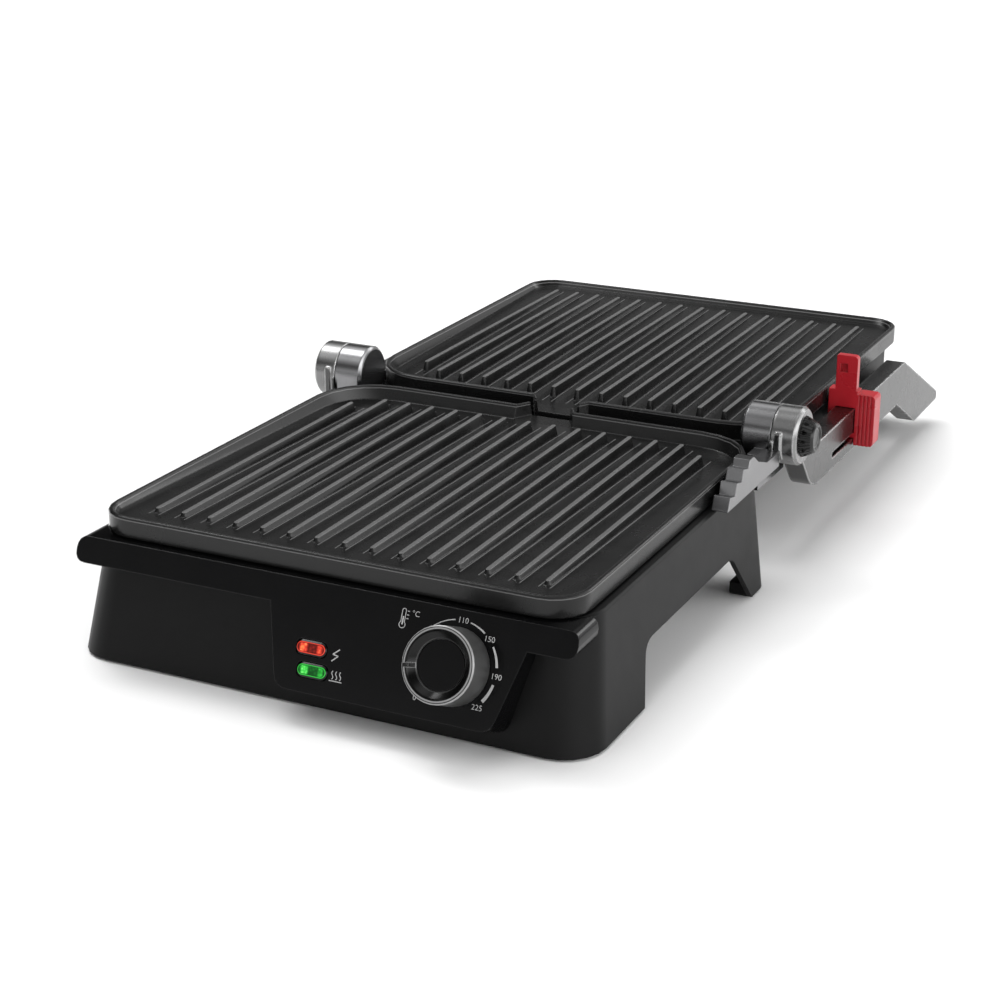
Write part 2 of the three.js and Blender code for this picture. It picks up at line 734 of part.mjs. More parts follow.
// Room that a hinge bracket's foot takes out of the housing's rear corner
function bracketFoot(grow = 0) {
  const inner = BARREL_INNER_X + PEDESTAL_INSET - grow;
  const back = HINGE_Y + BARREL_RADIUS - PEDESTAL_INSET;
  const low = [inner, back - BRACKET_FOOT_LENGTH - grow, DECK_TOP - BRACKET_FOOT_HEIGHT - grow];
  const high = [BRACKET_FOOT_OUTER + grow, back + grow, DECK_TOP + grow];
  return block(low, high);
}

function legSole() {
  const half = BASE_HALF + BASE_FLARE;
  const low = [half - REAR_LEG_RETURN, BASE_REAR - REAR_FOOT_LENGTH - REAR_FOOT_WIDTH, FOOT_LIFT];
  const high = [half + OVERRUN, BASE_REAR, FOOT_LIFT + LEG_SOLE_HEIGHT];
  return block(low, high).intersect(housingBlock(0, FOOT_LIFT, DECK_TOP));
}

function housing() {
  const outside = loft([
    housingRing(FOOT_LIFT, 0),
    housingRing(DECK_TOP - BASE_EDGE_EASE, 0),
    housingRing(DECK_TOP, BASE_EDGE_EASE),
  ]);
  const shelfHalf = BARREL_INNER_X - BASE_WALL;
  const shelfBack = BASE_REAR + REAR_SHELF_DEPTH;
  const shelfLow = DECK_TOP - REAR_SHELF_HEIGHT;
  const shelf = block([-shelfHalf, BASE_REAR - BASE_WALL, shelfLow], [shelfHalf, shelfBack, DECK_TOP]);
  const shelfRoom = block(
    [-shelfHalf + BASE_WALL, BASE_REAR - 2 * BASE_WALL, shelfLow + BASE_WALL],
    [shelfHalf - BASE_WALL, shelfBack - BASE_WALL, DECK_TOP - BASE_WALL],
  );
  const inside = housingBlock(BASE_WALL, FOOT_LIFT - OVERRUN, DECK_TOP - BASE_WALL);
  const wide = BASE_HALF + BASE_FLARE + OVERRUN;
  const arch = alongX(archShape(), -wide, wide);
  const rearGate = block(
    [REAR_LEG_RETURN - BASE_HALF - BASE_FLARE, BASE_REAR - REAR_FOOT_LENGTH, FOOT_LIFT - OVERRUN],
    [BASE_HALF + BASE_FLARE - REAR_LEG_RETURN, BASE_REAR + OVERRUN, FOOT_LIFT + ARCH_HEIGHT],
  );
  const seat = panSeat(DECK_TOP, BASE_WALL);
  const tower = rearTower();
  let body = outside.add(shelf).subtract(inside).subtract(shelfRoom);
  body = body.add(tower).add(mirrored(tower)).add(legSole()).add(mirrored(legSole()));
  for (const [x, y] of postPlaces()) {
    const post = rod(POST_RADIUS, COVER_TOP + GAP, DECK_TOP - BASE_WALL + GAP);
    body = body.add(turnedZ(post, x, y, SMALL_TURN_STEPS));
    const boreTop = FOOT_LIFT + ARCH_HEIGHT + SCREW_LENGTH + OVERRUN;
    const bore = rod(SCREW_RADIUS + GAP, COVER_TOP - OVERRUN, boreTop);
    body = body.subtract(turnedZ(bore, x, y, SMALL_TURN_STEPS));
  }
  body = body.subtract(arch).subtract(rearGate).subtract(seat);
  const shoulder = rearShoulder();
  body = body.subtract(bracketFoot(GAP)).subtract(mirrored(bracketFoot(GAP)));
  body = body.subtract(shoulder).subtract(footStudBore()).subtract(mirrored(footStudBore()));
  return body.subtract(thermostatRoom()).subtract(glandHole());
}

// Solid corner below a bracket's foot, down to the bottom cover
function rearTower() {
  const back = BASE_REAR - BASE_WALL + GAP;
  const inner = BARREL_INNER_X - BASE_WALL;
  const low = [inner, back - BRACKET_FOOT_HEIGHT, COVER_TOP + GAP];
  const high = [BASE_HALF, back, DECK_TOP - BASE_WALL + GAP];
  return block(low, high).intersect(housingBlock(BASE_WALL / 2, FOOT_LIFT, DECK_TOP));
}

// Rounded fall of the two side walls behind the deck
function rearShoulder() {
  const inner = BRACKET_FOOT_OUTER + GAP;
  const outer = BASE_HALF + BASE_FLARE + OVERRUN;
  const shape = outline([
    [BASE_REAR - BASE_REAR_SHOULDER_LENGTH, DECK_TOP + OVERRUN],
    [BASE_REAR - BASE_REAR_SHOULDER_LENGTH, DECK_TOP, BASE_REAR_SHOULDER_LENGTH],
    [BASE_REAR, DECK_TOP - BASE_REAR_SHOULDER_DROP, 0],
    [BASE_REAR + OVERRUN, DECK_TOP - BASE_REAR_SHOULDER_DROP],
    [BASE_REAR + OVERRUN, DECK_TOP + OVERRUN],
  ]);
  return alongX(shape, inner, outer).add(alongX(shape, -outer, -inner));
}

function footStudBore() {
  const half = BASE_HALF + BASE_FLARE - REAR_LEG_RETURN / 2;
  const top = FOOT_LIFT + LEG_SOLE_HEIGHT - BASE_WALL;
  const bore = rod(FOOT_STUD_RADIUS + GAP, 0, top);
  return turnedZ(bore, half, BASE_REAR - REAR_FOOT_SETBACK, SMALL_TURN_STEPS);
}

// Round hole on the knob's axis, square to the fascia
function dialHole(radius, from, to) {
  const place = FACE_FRAME.clone().multiply(new THREE.Matrix4().makeTranslation(KNOB_X, -KNOB_DROP, 0));
  const geometry = turned(rod(radius, from, to), TURN_STEPS / 2).rotateX(Math.PI / 2);
  return solid(geometry.applyMatrix4(place));
}

// Hole in the leaning front wall for the thermostat
function thermostatRoom() {
  return dialHole(THERMOSTAT_RADIUS + GAP, -FASCIA_DEPTH, -FASCIA_WALL);
}

function glandHole() {
  const hole = rod(GLAND_NECK_RADIUS + GAP, BASE_REAR - GLAND_LENGTH, BASE_REAR + GLAND_LENGTH);
  return turnedY(hole, GLAND_X, DECK_TOP - GLAND_DROP, SMALL_TURN_STEPS);
}

// Bottom cover: a sheet that follows the floor and the arches, with rails for the drip tray
function bottomCover() {
  const low = FOOT_LIFT;
  const high = FOOT_LIFT + ARCH_HEIGHT;
  const front = BASE_FRONT_SETBACK - BASE_TALL;
  const step = ARCH_FRONT + ARCH_FRONT_SLOPE;
  const back = BASE_REAR + OVERRUN;
  const profile = outline([
    [front, low],
    [ARCH_FRONT - GAP, low],
    [step - GAP, high, ARCH_RADIUS],
    [back, high],
    [back, high + COVER_SHEET],
    [step - COVER_SHEET, high + COVER_SHEET, ARCH_RADIUS],
    [ARCH_FRONT - COVER_SHEET, low + COVER_SHEET],
    [front, low + COVER_SHEET],
  ]);
  const half = BASE_HALF + BASE_FLARE;
  let body = alongX(profile, -half, half).intersect(housingBlock(BASE_WALL + GAP, low, DECK_TOP));
  for (const [x, y] of postPlaces()) {
    const hole = rod(SCREW_RADIUS + GAP, high - OVERRUN, high + COVER_SHEET + OVERRUN);
    body = body.subtract(turnedZ(hole, x, y, SMALL_TURN_STEPS));
  }
  for (const x of [-FRONT_FOOT_X, FRONT_FOOT_X]) {
    const hole = rod(FOOT_STUD_RADIUS + GAP, 0, low + COVER_SHEET + OVERRUN);
    body = body.subtract(turnedZ(hole, x, FRONT_FOOT_Y, SMALL_TURN_STEPS));
  }
  const rail = trayRail();
  return body.add(rail).add(mirrored(rail));
}

function trayRail() {
  const top = FOOT_LIFT + ARCH_HEIGHT + COVER_SHEET / 2;
  const low = FOOT_LIFT + ARCH_HEIGHT - RAIL_HEIGHT;
  const inner = TRAY_HALF_WIDTH + GAP;
  const outer = TRAY_HALF_WIDTH + TRAY_FLANGE + GAP;
  const shape = outline([
    [inner, low],
    [outer + RAIL_THICKNESS, low],
    [outer + RAIL_THICKNESS, top],
    [outer, top],
    [outer, low + RAIL_THICKNESS],
    [inner, low + RAIL_THICKNESS],
  ]);
  const back = BASE_REAR - BASE_WALL - GAP;
  return alongY(shape, ARCH_FRONT + ARCH_FRONT_SLOPE + RAIL_FRONT_MARGIN, back);
}

function coverScrew(x, y) {
  const cover = FOOT_LIFT + ARCH_HEIGHT;
  const profile = [
    [0, cover - GAP - SCREW_HEAD_HEIGHT],
    [SCREW_HEAD_RADIUS * SCREW_HEAD_EDGE_SHARE, cover - GAP - SCREW_HEAD_HEIGHT],
    [SCREW_HEAD_RADIUS, cover - GAP - SCREW_HEAD_HEIGHT / 2],
    [SCREW_HEAD_RADIUS, cover - GAP],
    [SCREW_RADIUS, cover - GAP],
    [SCREW_RADIUS, cover + SCREW_LENGTH],
    [0, cover + SCREW_LENGTH],
  ];
  return turnedZ(profile, x, y, SMALL_TURN_STEPS);
}

// Drip tray on its rails, reaching out under the two spouts
function dripTray() {
  const flangeLow = FOOT_LIFT + ARCH_HEIGHT - RAIL_HEIGHT + RAIL_THICKNESS + GAP;
  const top = flangeLow + TRAY_FLANGE_THICKNESS;
  const back = HINGE_Y + TRAY_OVERHANG;
  const front = back - TRAY_LENGTH;
  const section = (inset, height) => {
    const radius = TRAY_RADIUS - inset;
    return ring(TRAY_HALF_WIDTH - inset, front + inset, back - inset, radius, radius, height);
  };
  const outside = loft([section(TRAY_DRAFT, top - TRAY_DEPTH), section(GAP, top)]);
  const inside = loft([
    section(TRAY_DRAFT + TRAY_WALL, top - TRAY_DEPTH + TRAY_WALL),
    section(TRAY_WALL + GAP, top + GAP),
  ]);
  const flange = loft([
    ring(TRAY_HALF_WIDTH + TRAY_FLANGE, front, back, TRAY_RADIUS, TRAY_RADIUS, flangeLow),
    ring(TRAY_HALF_WIDTH + TRAY_FLANGE, front, back, TRAY_RADIUS, TRAY_RADIUS, top),
  ]);
  const gripHalf = TRAY_GRIP_WIDTH / 2;
  const gripEnd = back + TRAY_GRIP_REACH;
  const gripShape = rectangle(-gripHalf, back - TRAY_RADIUS, gripHalf, gripEnd, TRAY_GRIP_REACH / 2);
  const grip = alongZ(gripShape, flangeLow, top);
  return outside.add(flange).add(grip).subtract(inside);
}

// Front fascia: a full-width lip and a control pod in one moulding
function fascia() {
  const lipHeight = LIP_HEIGHT * Math.cos(FACE_ANGLE);
  const lipPrism = alongY(
    rectangle(-LIP_HALF_WIDTH, DECK_TOP - lipHeight, LIP_HALF_WIDTH, DECK_TOP, LIP_RADIUS),
    -FASCIA_DEPTH,
    BASE_FRONT_SETBACK + BASE_FRONT_RADIUS / 2,
  );
  const behindFace = alongFace(
    rectangle(-LIP_HALF_WIDTH - OVERRUN, -FASCIA_DEPTH, LIP_HALF_WIDTH + OVERRUN, FASCIA_DEPTH),
    -2 * FASCIA_DEPTH,
    0,
  );
  const pod = alongFace(podShape(0), -FASCIA_DEPTH, 0);
  const room = alongFace(podShape(FASCIA_WALL), -FASCIA_DEPTH - OVERRUN, -FASCIA_WALL);
  let body = lipPrism.intersect(behindFace).add(pod).subtract(room);
  body = body.subtract(housingBlock(-GAP, -OVERRUN, DECK_TOP + OVERRUN));
  body = body.subtract(dialHole(SHAFT_RADIUS + GAP, -FASCIA_DEPTH, OVERRUN)).subtract(thermostatRoom());
  for (const [x, drop] of [[RED_LENS_X, RED_LENS_DROP], [GREEN_LENS_X, GREEN_LENS_DROP]]) {
    body = body.subtract(alongFace(capsule(x, drop, GAP), -FASCIA_DEPTH, OVERRUN));
  }
  return body;
}

function podShape(inset) {
  const top = -LIP_HEIGHT;
  const bottom = -LIP_HEIGHT - POD_HEIGHT + inset;
  const wide = POD_TOP_HALF_WIDTH - inset;
  const narrow = POD_BOTTOM_HALF_WIDTH - inset;
  const throat = inset === 0 ? POD_THROAT_RADIUS : -inset;
  return outline([
    [POD_CENTRE - narrow, bottom, POD_RADIUS],
    [POD_CENTRE + narrow, bottom, POD_RADIUS],
    [POD_CENTRE + wide, top, throat],
    [POD_CENTRE + wide, top + FASCIA_WALL],
    [POD_CENTRE - wide, top + FASCIA_WALL],
    [POD_CENTRE - wide, top, throat],
  ].map(([x, y, radius]) => [x, y, Math.max(radius ?? 0, 0)]));
}

function capsule(x, drop, grow) {
  const half = LENS_LENGTH / 2 + grow;
  const tall = LENS_HEIGHT / 2 + grow;
  return rectangle(x - half, -drop - tall, x + half, -drop + tall, tall);
}

// Lens with a low crown, drawn in the fascia's frame
function lens(x, drop) {
  const half = LENS_LENGTH / 2;
  const tall = LENS_HEIGHT / 2;
  const section = (inset, height) => {
    const radius = tall - inset;
    return ring(half - inset, -radius, radius, radius, radius, height);
  };
  const place = new THREE.Matrix4().makeTranslation(x, -drop, 0);
  return loft([section(0, -LENS_DEPTH), section(0, 0), section(LENS_EDGE, LENS_CROWN)], place);
}

// Knob, its shaft and the thermostat behind it, drawn about the knob's own axis
function knob() {
  const dishFloor = KNOB_HEIGHT - KNOB_DISH_DEPTH;
  const ease = KNOB_RING / 3;
  const profile = [
    [0, KNOB_PAINT_GAP],
    [KNOB_SKIRT_RADIUS, KNOB_PAINT_GAP],
    [KNOB_RADIUS, KNOB_HEIGHT - ease],
    [KNOB_RADIUS - ease, KNOB_HEIGHT],
    [KNOB_RADIUS - KNOB_RING, KNOB_HEIGHT],
    [KNOB_RADIUS - KNOB_RING - ease, KNOB_HEIGHT - KNOB_DISH_DEPTH / 3],
    [KNOB_DISC_RADIUS + ease, dishFloor + KNOB_DISH_DEPTH / 6],
    [KNOB_DISC_RADIUS + GAP, dishFloor],
    [KNOB_DISC_RADIUS + GAP, dishFloor - KNOB_DISC_THICKNESS - GAP],
    [0, dishFloor - KNOB_DISC_THICKNESS - GAP],
  ];
  const pointer = block(
    [KNOB_DISC_RADIUS + ease, -KNOB_POINTER_WIDTH / 2, dishFloor - KNOB_DISC_THICKNESS],
    [KNOB_RADIUS - ease, KNOB_POINTER_WIDTH / 2, KNOB_HEIGHT + OVERRUN],
  );
  const turn = new THREE.Matrix4().makeRotationZ(THREE.MathUtils.degToRad(KNOB_POINTER_ANGLE));
  const notch = solid(surface(pointer).applyMatrix4(turn));
  const bore = turnedZ(rod(SHAFT_RADIUS + GAP, 0, SHAFT_DEPTH_IN_KNOB + GAP), 0, 0, SMALL_TURN_STEPS);
  return turnedZ(profile, 0, 0).subtract(notch).subtract(bore);
}

function knobDisc() {
  const top = KNOB_HEIGHT - KNOB_DISH_DEPTH;
  return turnedZ(rod(KNOB_DISC_RADIUS, top - KNOB_DISC_THICKNESS, top), 0, 0);
}

function knobShaft() {
  const shaft = rod(SHAFT_RADIUS, -FASCIA_WALL - THERMOSTAT_LENGTH / 3, SHAFT_DEPTH_IN_KNOB);
  return turnedZ(shaft, 0, 0, SMALL_TURN_STEPS);
}

function thermostat() {
  const front = -FASCIA_WALL - GAP;
  const shell = turnedZ(rod(THERMOSTAT_RADIUS, front - THERMOSTAT_LENGTH, front), 0, 0, TURN_STEPS / 2);
  const bore = rod(SHAFT_RADIUS + GAP, front - THERMOSTAT_LENGTH / 3 - GAP, OVERRUN);
  return shell.subtract(turnedZ(bore, 0, 0, SMALL_TURN_STEPS));
}

// Feet
function frontFoot(x) {
  const profile = [
    [0, 0],
    [FRONT_FOOT_RADIUS - GAP, 0],
    [FRONT_FOOT_RADIUS, FOOT_LIFT - GAP],
    [FOOT_STUD_RADIUS, FOOT_LIFT - GAP],
    [FOOT_STUD_RADIUS, FOOT_LIFT + COVER_SHEET],
    [0, FOOT_LIFT + COVER_SHEET],
  ];
  return turnedZ(profile, x, FRONT_FOOT_Y, SMALL_TURN_STEPS);
}

function rearFoot(side) {
  const x = BASE_HALF + BASE_FLARE - REAR_LEG_RETURN / 2;
  const y = BASE_REAR - REAR_FOOT_SETBACK;
  const wide = REAR_FOOT_WIDTH / 2;
  const long = REAR_FOOT_LENGTH / 2;
  const pad = alongZ(rectangle(x - wide, y - long, x + wide, y + long, wide / 2), 0, FOOT_LIFT - GAP);
  const stud = rod(FOOT_STUD_RADIUS, 0, FOOT_LIFT + LEG_SOLE_HEIGHT - BASE_WALL - GAP);
  const body = pad.add(turnedZ(stud, x, y, SMALL_TURN_STEPS));
  return side > 0 ? body : mirrored(body);
}

// Hinge barrel halves, turned about the hinge line
function baseBarrel() {
  const chamfer = BARREL_CHAMFER;
  return turnedX([
    [0, BARREL_INNER_X],
    [BARREL_RADIUS - chamfer, BARREL_INNER_X],
    [BARREL_RADIUS - chamfer, BARREL_INNER_X + chamfer / 4],
    [BARREL_RADIUS, BARREL_INNER_X + chamfer],
    [BARREL_RADIUS, BARREL_SEAM_X - GAP],
    [0, BARREL_SEAM_X - GAP],
  ], HINGE_Y, HINGE_Z);
}

function pinBore(from, to) {
  return turnedX(rod(PIN_RADIUS + GAP, from, to), HINGE_Y, HINGE_Z, TURN_STEPS / 2);
}

function hingePin() {
  return turnedX(rod(PIN_RADIUS, pinStart(), pinEnd()), HINGE_Y, HINGE_Z, TURN_STEPS / 2);
}

function pinStart() {
  return BARREL_INNER_X + PIN_END_MARGIN;
}

function pinEnd() {
  return hubRecess() - PIN_END_MARGIN;
}

// Depth to which the arm's hub is hollow for the release button
function hubRecess() {
  return BARREL_OUTER_X - BUTTON_DEPTH - BUTTON_TRAVEL_ROOM + BUTTON_SHOULDER;
}

// Low lug and taller rib beside it on the arm's half of the barrel, facing the stairs
function stopLug() {
  const front = HINGE_Y - BARREL_RADIUS - STOP_LUG_PROUD;
  const back = HINGE_Y - BARREL_RADIUS / 2;
  const seam = BARREL_SEAM_X + GAP / 2;
  const rib = seam + STOP_RIB_INSET;
  const low = [seam, front, HINGE_Z - STOP_LUG_DROP];
  const high = [seam + STOP_LUG_WIDTH, back, HINGE_Z];
  const shape = outline([
    [front, HINGE_Z - STOP_RIB_DROP, STOP_LUG_PROUD],
    [back, HINGE_Z - STOP_RIB_DROP],
    [back, HINGE_Z + STOP_RIB_RISE],
    [front, HINGE_Z + STOP_RIB_RISE, STOP_LUG_PROUD],
  ]);
  return block(low, high).add(alongX(shape, rib, rib + STOP_RIB_WIDTH));
}

function hingeBracket() {
  const inner = BARREL_INNER_X + PEDESTAL_INSET;
  const back = HINGE_Y + BARREL_RADIUS - PEDESTAL_INSET;
  const pedestal = block(
    [inner, HINGE_Y - BARREL_RADIUS, DECK_TOP - BRACKET_FOOT_HEIGHT],
    [BARREL_SEAM_X - PEDESTAL_INSET, back, HINGE_Z],
  );
  const body = baseBarrel().add(pedestal).add(bracketFoot());
  return body.subtract(pinBore(pinStart() - GAP, BARREL_SEAM_X));
}

// Stairs that a lid slider can rest on, with a web back to the hinge bracket
function stepProfile() {
  const bottom = DECK_TOP + GAP;
  let y = HINGE_Y - STEP_FIRST_SETBACK;
  let z = bottom + STEP_BASE_RISE;
  const points = [[y, bottom], [y + STEP_RISER_SLANT / 2, z]];
  y += STEP_RISER_SLANT / 2;
  STEP_RISES.forEach((rise, step) => {
    y += STEP_RISER_SLANT;
    z += rise;
    points.push([y, z]);
    if (step < STEP_RISES.length - 1) {
      y += STEP_TREAD - STEP_RISER_SLANT;
      z -= STEP_TILT;
      points.push([y, z]);
    }
  });
  const back = HINGE_Y - BARREL_RADIUS - STOP_LUG_PROUD - GAP;
  const crownEnd = y + STEP_CROWN_LENGTH;
  points.push(
    [crownEnd, z],
    [crownEnd + STEP_POCKET_LENGTH / 3, z - STEP_POCKET_DEPTH / 2],
    [crownEnd + STEP_POCKET_LENGTH, z - STEP_POCKET_DEPTH],
    [back, z - STEP_POCKET_DEPTH],
    [back, bottom],
  );
  return outline(points);
}

function steppedRest() {
  const stairs = alongX(stepProfile(), STEP_INNER_X, STEP_INNER_X + STEP_WIDTH);
  const back = HINGE_Y - BARREL_RADIUS;
  const outer = BARREL_SEAM_X - PEDESTAL_INSET;
  const web = block(
    [outer - STEP_WEB_WIDTH, back - STEP_WEB_LENGTH, DECK_TOP - BRACKET_FOOT_HEIGHT],
    [outer, back + OVERRUN, HINGE_Z - STEP_POCKET_DEPTH / 2],
  );
  return stairs.add(web);
}

// Lid arm: hub, straight bar and the toe that carries the handle
function armShape() {
  const top = RIM_TOP - ARM_DROP;
  const bottom = top - ARM_BAR_HEIGHT;
  const toe = LID_END + ARM_TOE_BEYOND_END;
  const floor = top - ARM_TOE_DROP;
  return outline([
    [HINGE_Y, HINGE_Z],
    [HINGE_Y, HINGE_Z - BARREL_RADIUS],
    [HINGE_Y + PIN_RADIUS, HINGE_Z - BARREL_RADIUS + GAP],
    [HINGE_Y + ARM_HEEL, bottom, ARM_HEEL_RADIUS],
    [LID_END - ARM_THROAT_BEFORE_END, bottom, ARM_TOE_RADIUS],
    [toe - ARM_TOE_LENGTH, floor, ARM_TOE_RADIUS],
    [toe, floor, ARM_TOE_RADIUS],
    [toe, floor + ARM_TOE_NOSE, ARM_TOE_RADIUS],
    [LID_END - ARM_BEND_BEFORE_END, top, ARM_TOE_RADIUS],
    [HINGE_Y + BARREL_RADIUS / 2, top],
  ]);
}

function armBarrel() {
  return turnedX([
    [0, BARREL_SEAM_X + GAP / 2],
    [BARREL_RADIUS, BARREL_SEAM_X + GAP / 2],
    [BARREL_RADIUS, BARREL_OUTER_X - BARREL_CHAMFER],
    [BARREL_RADIUS - BARREL_CHAMFER, BARREL_OUTER_X],
    [0, BARREL_OUTER_X],
  ], HINGE_Y, HINGE_Z);
}

function lidArm() {
  const hub = rod(BUTTON_RADIUS + GAP, hubRecess(), BARREL_OUTER_X + OVERRUN);
  const body = armBarrel().add(stopLug()).add(alongX(armShape(), ARM_INNER_X, ARM_OUTER_X));
  const pivot = rod(PIVOT_RADIUS + GAP, ARM_INNER_X - OVERRUN, ARM_INNER_X + PIVOT_DEPTH_IN_ARM + GAP);
  const pivotBore = turnedX(pivot, HINGE_Y + PIVOT_REACH, RIM_TOP - PIVOT_DROP, SMALL_TURN_STEPS);
  const screwEnd = ARM_INNER_X + HANDLE_SCREW_DEPTH_IN_ARM + GAP;
  const screwHole = rod(HANDLE_SCREW_RADIUS + GAP, ARM_INNER_X - OVERRUN, screwEnd);
  return body
    .subtract(turnedX(hub, HINGE_Y, HINGE_Z))
    .subtract(pinBore(BARREL_SEAM_X - OVERRUN, pinEnd() + GAP))
    .subtract(pivotBore)
    .subtract(turnedX(screwHole, gripCentreY(), gripEndZ(), SMALL_TURN_STEPS));
}

// Long slot in the right arm's outer face, in which the height slider runs
function armSlot() {
  const start = HINGE_Y + SLOT_START;
  const centre = RIM_TOP - ARM_DROP - SLOT_DROP;
  const half = SLOT_HEIGHT / 2;
  const shape = rectangle(start, centre - half, start + SLOT_LENGTH, centre + half, half);
  return alongX(shape, ARM_OUTER_X - SLOT_DEPTH, ARM_OUTER_X + OVERRUN);
}

// Handle grip between the arms' toes, bowed so that the opened lid stands on it
function gripCentreY() {
  return LID_END + ARM_TOE_BEYOND_END - GRIP_TOE_SETBACK - GRIP_DEPTH / 2;
}

function gripEndZ() {
  return RIM_TOP - ARM_DROP - ARM_TOE_DROP + GRIP_END_RISE + GRIP_THICKNESS / 2;
}

function gripZ(x) {
  const share = x / (ARM_INNER_X - GAP);
  return gripEndZ() - GRIP_BOW * (1 - share * share);
}

function handleGrip() {
  const end = ARM_INNER_X - GAP;
  const rings = [];
  for (let station = 0; station <= GRIP_STATIONS; station += 1) {
    const x = end * (1 - 2 * station / GRIP_STATIONS);
    const half = GRIP_THICKNESS / 2;
    const deep = GRIP_DEPTH / 2;
    const section = ring(half, -deep, deep, GRIP_EDGE_RADIUS, GRIP_EDGE_RADIUS, 0, CURVE_STEPS);
    rings.push(section.map((point) => new THREE.Vector3(point.x + gripZ(x), point.y, -x)));
  }
  const frame = new THREE.Matrix4().makeBasis(AXIS_Z, AXIS_Y, AXIS_X.clone().negate());
  frame.setPosition(0, gripCentreY(), 0);
  let body = loft(rings, frame);
  for (const side of [-1, 1]) {
    const tip = side * end;
    const root = side * (end - HANDLE_SCREW_DEPTH - GAP);
    const span = [tip + side * OVERRUN, root].sort((a, b) => a - b);
    const bore = rod(HANDLE_SCREW_RADIUS + GAP, ...span);
    body = body.subtract(turnedX(bore, gripCentreY(), gripEndZ(), SMALL_TURN_STEPS));
  }
  return body;
}

// Headless screw that joins the grip to an arm from inside
function handleScrew() {
  const root = ARM_INNER_X - GAP - HANDLE_SCREW_DEPTH;
  const screw = rod(HANDLE_SCREW_RADIUS, root, ARM_INNER_X + HANDLE_SCREW_DEPTH_IN_ARM);
  return turnedX(screw, gripCentreY(), gripEndZ(), SMALL_TURN_STEPS);
}

function restPad(side) {
  const x = side * REST_PAD_X;
  const y = gripCentreY();
  const wide = REST_PAD_LENGTH / 2;
  const deep = REST_PAD_WIDTH / 2;
  const top = gripZ(REST_PAD_X);
  const pad = alongZ(rectangle(x - wide, y - deep, x + wide, y + deep, deep / 2), 0, top);
  return pad.subtract(gripShell());
}

// The grip's outside grown by the clearance, which shapes the top of the rest pads
function gripShell() {
  const half = GRIP_THICKNESS / 2 + GAP;
  const end = ARM_INNER_X;
  const points = [[-end, gripEndZ() + half]];
  for (let station = 0; station <= GRIP_STATIONS; station += 1) {
    const x = end * (2 * station / GRIP_STATIONS - 1);
    points.push([x, gripZ(x) - half]);
  }
  points.push([end, gripEndZ() + half]);
  return alongY(outline(points), gripCentreY() - GRIP_DEPTH, gripCentreY() + GRIP_DEPTH);
}

// Lid housing: a shallow tub under the upper plate, drawn like the plate from its outer edge
function lidRing(inset, height) {
  const shrink = LID_INSET + inset;
  return ring(
    PLATE_HALF - shrink,
    shrink,
    PLATE_DEPTH - shrink,
    Math.max(PLATE_FRONT_RADIUS - inset, LID_WALL),
    Math.max(PLATE_HINGE_RADIUS - inset, LID_WALL),
    height,
  );
}

function lidHousing() {
  const top = -PLATE_HEIGHT - GAP;
  const bottom = top - LID_DEPTH;
  const shoulder = bottom + LID_CROWN_DEPTH;
  const crown = LID_CROWN_SHARES.map(([inset, height]) => {
    return lidRing(inset * LID_CROWN_INSET, bottom + height * LID_CROWN_DEPTH);
  });
  const outside = loft([...crown, lidRing(0, shoulder), lidRing(0, top)]);
  const inside = loft([
    lidRing(LID_CROWN_INSET + LID_WALL, bottom + LID_WALL),
    lidRing(LID_WALL, shoulder + LID_WALL),
    lidRing(LID_WALL, top - LID_WALL),
  ]);
  let body = outside.subtract(inside).subtract(panSeat(top, LID_WALL));
  const y = LID_END - HINGE_Y - PIVOT_REACH;
  const bossOuter = ARM_INNER_X - GAP;
  const bossInner = PLATE_HALF - LID_INSET - LID_WALL;
  for (const side of [-1, 1]) {
    const span = [side * bossInner, side * bossOuter].sort((a, b) => a - b);
    body = body.add(turnedX(rod(PIVOT_BOSS_RADIUS, ...span), y, -PIVOT_DROP, SMALL_TURN_STEPS));
    const bore = [side * (bossInner + LID_WALL / 2), side * (bossOuter + OVERRUN)].sort((a, b) => a - b);
    body = body.subtract(turnedX(rod(PIVOT_RADIUS + GAP, ...bore), y, -PIVOT_DROP, SMALL_TURN_STEPS));
  }
  return body;
}

function pivotPin() {
  const inner = PLATE_HALF - LID_INSET - LID_WALL / 2 + GAP;
  const outer = ARM_INNER_X + PIVOT_DEPTH_IN_ARM;
  const pin = rod(PIVOT_RADIUS, inner, outer);
  return turnedX(pin, HINGE_Y + PIVOT_REACH, RIM_TOP - PIVOT_DROP, SMALL_TURN_STEPS);
}

